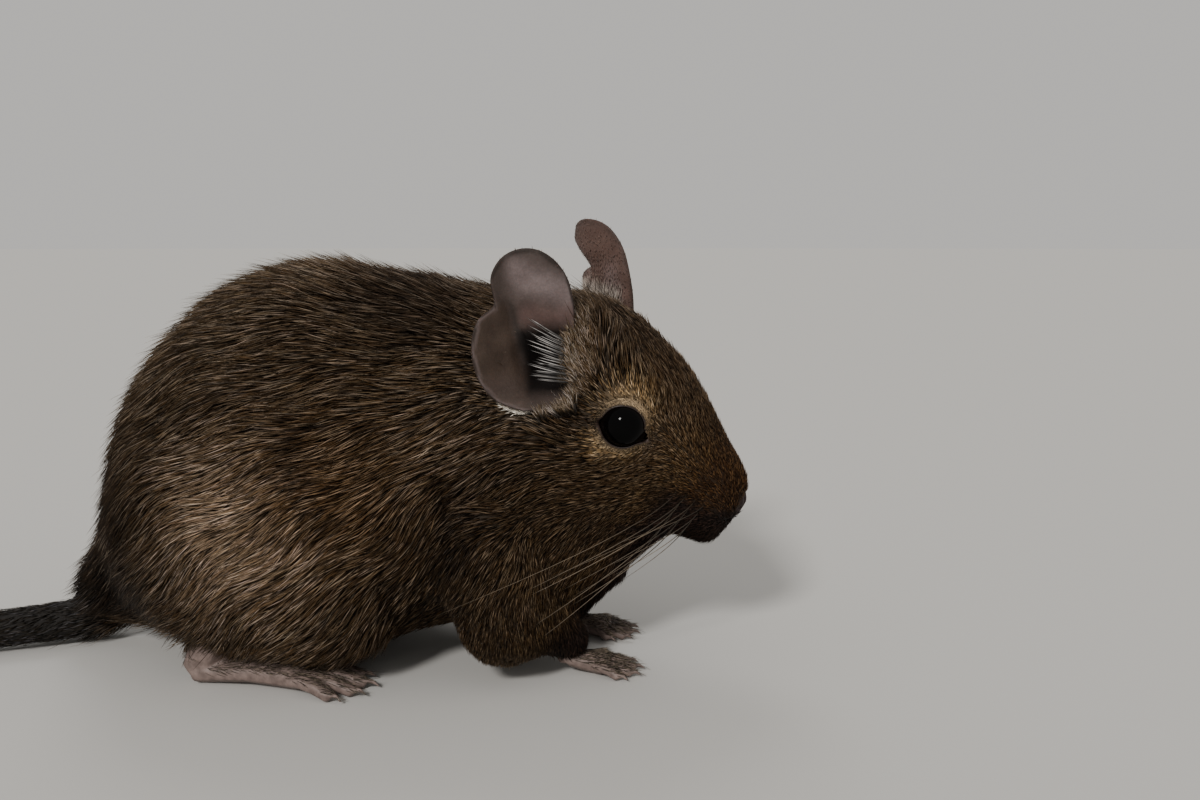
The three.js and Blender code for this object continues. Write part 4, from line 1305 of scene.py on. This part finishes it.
def foot_hair(foot, kind, side, hair):
    """Short hair on the upper side of a foot."""
    unwrap_piece(foot)
    count = FOOT_HAIRS[kind]
    places = from_frame(points_of(foot))
    rooted = scatter(foot, count, ease(normals_of(foot)[:, 2], 0.05, 0.6) * ease(places[:, 2], 0.8, 1.8))
    ahead = unit(sum(way for _, way in toe_tips(kind, side)))
    ways = np.tile(ahead, (count, 1)) + rng.normal(0, 0.15, (count, 3)) - (0, 0, 0.25)
    tones = np.array((0.12, 0.095, 0.07)) * (0.4 + 1.4 * rng.random(count))[:, None]
    lengths = 1.2 + 0.8 * rng.random(count)
    lift = 12 + rng.normal(0, 4, count)
    name = f"{kind}_hair_{side}"
    lay_hair(name, rooted, ways, lengths, lift, 0.08, (0, 0.5, 1), 0.13, tones, hair, "foot_skin")


def make_whiskers(skin_tree, hair):
    """Long springy whiskers from the pads beside the nose, swept back and down."""
    shares = np.linspace(0, 1, 14)[:, None]
    for side, sign in SIDES.items():
        spines, widths = [], []
        out = unit(head_way((0.05, sign, 0.02)))
        for k in range(WHISKERS_A_SIDE):
            row, column = k % 4, k // 4
            pad = on_head((-5.5 - 1.7 * column, sign * 2, 1.6 - 1.7 * row))
            hit = skin_tree.ray_cast(Vector(to_frame(pad)), Vector(out))[0]
            start = from_frame(hit) if hit is not None else pad + out * 5
            length = (17 + 8 * column + 5 * rng.random()) * (1 - 0.05 * row)
            back = unit((-0.9, sign * 0.05, -0.42 - 0.1 * row - 0.04 * column + 0.14 * rng.random()))
            bow = out * (0.62 + 0.1 * rng.random()) + head_way((0.1, 0, 0.1 - 0.1 * row))
            first = start + bow * length * 0.42
            last = start + back * length * 0.92 + out * length * 0.22
            path = start * (1 - shares) ** 2 + first * 2 * shares * (1 - shares) + last * shares**2
            path[:, 1] = np.clip(path[:, 1], -WHISKER_SPAN, WHISKER_SPAN)
            spines.append(to_frame(path))
            widths.append(0.12 + 0.06 * rng.random())
        count = len(spines)
        grey = (0.075 + 0.09 * rng.random(count))[:, None] * (1.0, 0.77, 0.53)
        level = np.tile(unit(head_way((0, sign, 0))), (count, 1))
        build_hair(f"whiskers_{side}", np.array(spines), level, widths, grey, np.full((count, 2), 0.5), hair)


def make_brush(hair):
    """Long stiff hairs over the last third of the tail, that gather into a brush at its end."""
    count, steps = BRUSH_HAIRS, 200
    path, way = smooth_path(TAIL_PATH, steps)
    share = 1 - 0.36 * rng.random(count) ** 1.3
    step = (share * (steps - 1)).astype(int)
    across = unit(np.cross(way[step], (0, 0, 1)))
    up = np.cross(across, way[step])
    angle = 2 * math.pi * rng.random(count)
    out = across * np.cos(angle)[:, None] + up * np.sin(angle)[:, None]
    roots = to_frame(path[step] + out * (tail_radius(share * (len(TAIL_RADII) - 1)) * 0.7)[:, None])
    lengths = 3 + 11.5 * ease(share, 0.68, 0.95) * (0.3 + 0.9 * rng.random(count))
    lift = 9 + 5 * rng.random(count) - 6 * ease(share, 0.85, 1)
    curl = 0.03 + 0.08 * ease(share, 0.85, 1)
    tones = TAIL_TONE * (0.3 + 1.1 * rng.random(count) ** 2)[:, None]
    rooted = roots, out, np.stack([share * 0.5, angle / 6.3 * 0.5], 1)
    shares = (0, 0.3, 0.65, 1)
    lay_hair("tail_brush", rooted, way[step], lengths, lift, curl, shares, 0.2, tones, hair, "tail_coat")


photo_camera()
studio()

banding = hair_banding()
fur = hair_material("agouti_fur", banding, 0.6, 0.16)
pale_hair = hair_material("pale_hair", banding, 0.45, 0.3)
ground = toned_skin("coat_ground", 0.75, (1600, 4.0, 0.6), 0.55, 0.8, (0.5, 0.0004))
ear_skin = ear_material()
eye_gloss = eye_material()
lid_skin = toned_skin("lid_skin", 0.42, (1500, 3.0, 0.6), 0.75, 0.7, (0.4, 0.0001))
nose_skin = nose_material()
foot_skin = bare_material("foot_skin", (0.10, 0.07, 0.06), (0.22, 0.16, 0.14), 700, 0.6, 0.7)
horn = bare_material("claw_horn", (0.035, 0.028, 0.024), (0.09, 0.075, 0.06), 500, 0.35, 0.2)

skin = make_skin()
carve_face(skin)
put_tone(skin, markings(from_frame(points_of(skin))) * GROUND_SHADE)
unwrap_piece(skin)
finish_piece(skin, ground, "coat", *FLESH, *TAIL_NODES)
skin_tree = BVHTree.FromObject(skin, bpy.context.evaluated_depsgraph_get())

ears = []
for side in SIDES:
    make_eye(side, eye_gloss)
    lid_hair(side, make_lids(side, skin_tree, lid_skin), fur)
    ear = make_ear(side, ear_skin)
    unwrap_piece(ear)
    canal_hairs(side, pale_hair)
    ear_border_fur(side, skin_tree, fur)
    ear_velvet(side, ear, fur)
    ears.append(ear)
    for kind in FEET:
        foot = make_foot(f"{kind}_{side}", foot_skin)
        make_claws(kind, side, horn)
        foot_hair(foot, kind, side, pale_hair)

make_nose(nose_skin)
comb_coat(skin, ears, fur)
guard_hairs(skin, fur)
make_whiskers(skin_tree, pale_hair)
make_brush(fur)
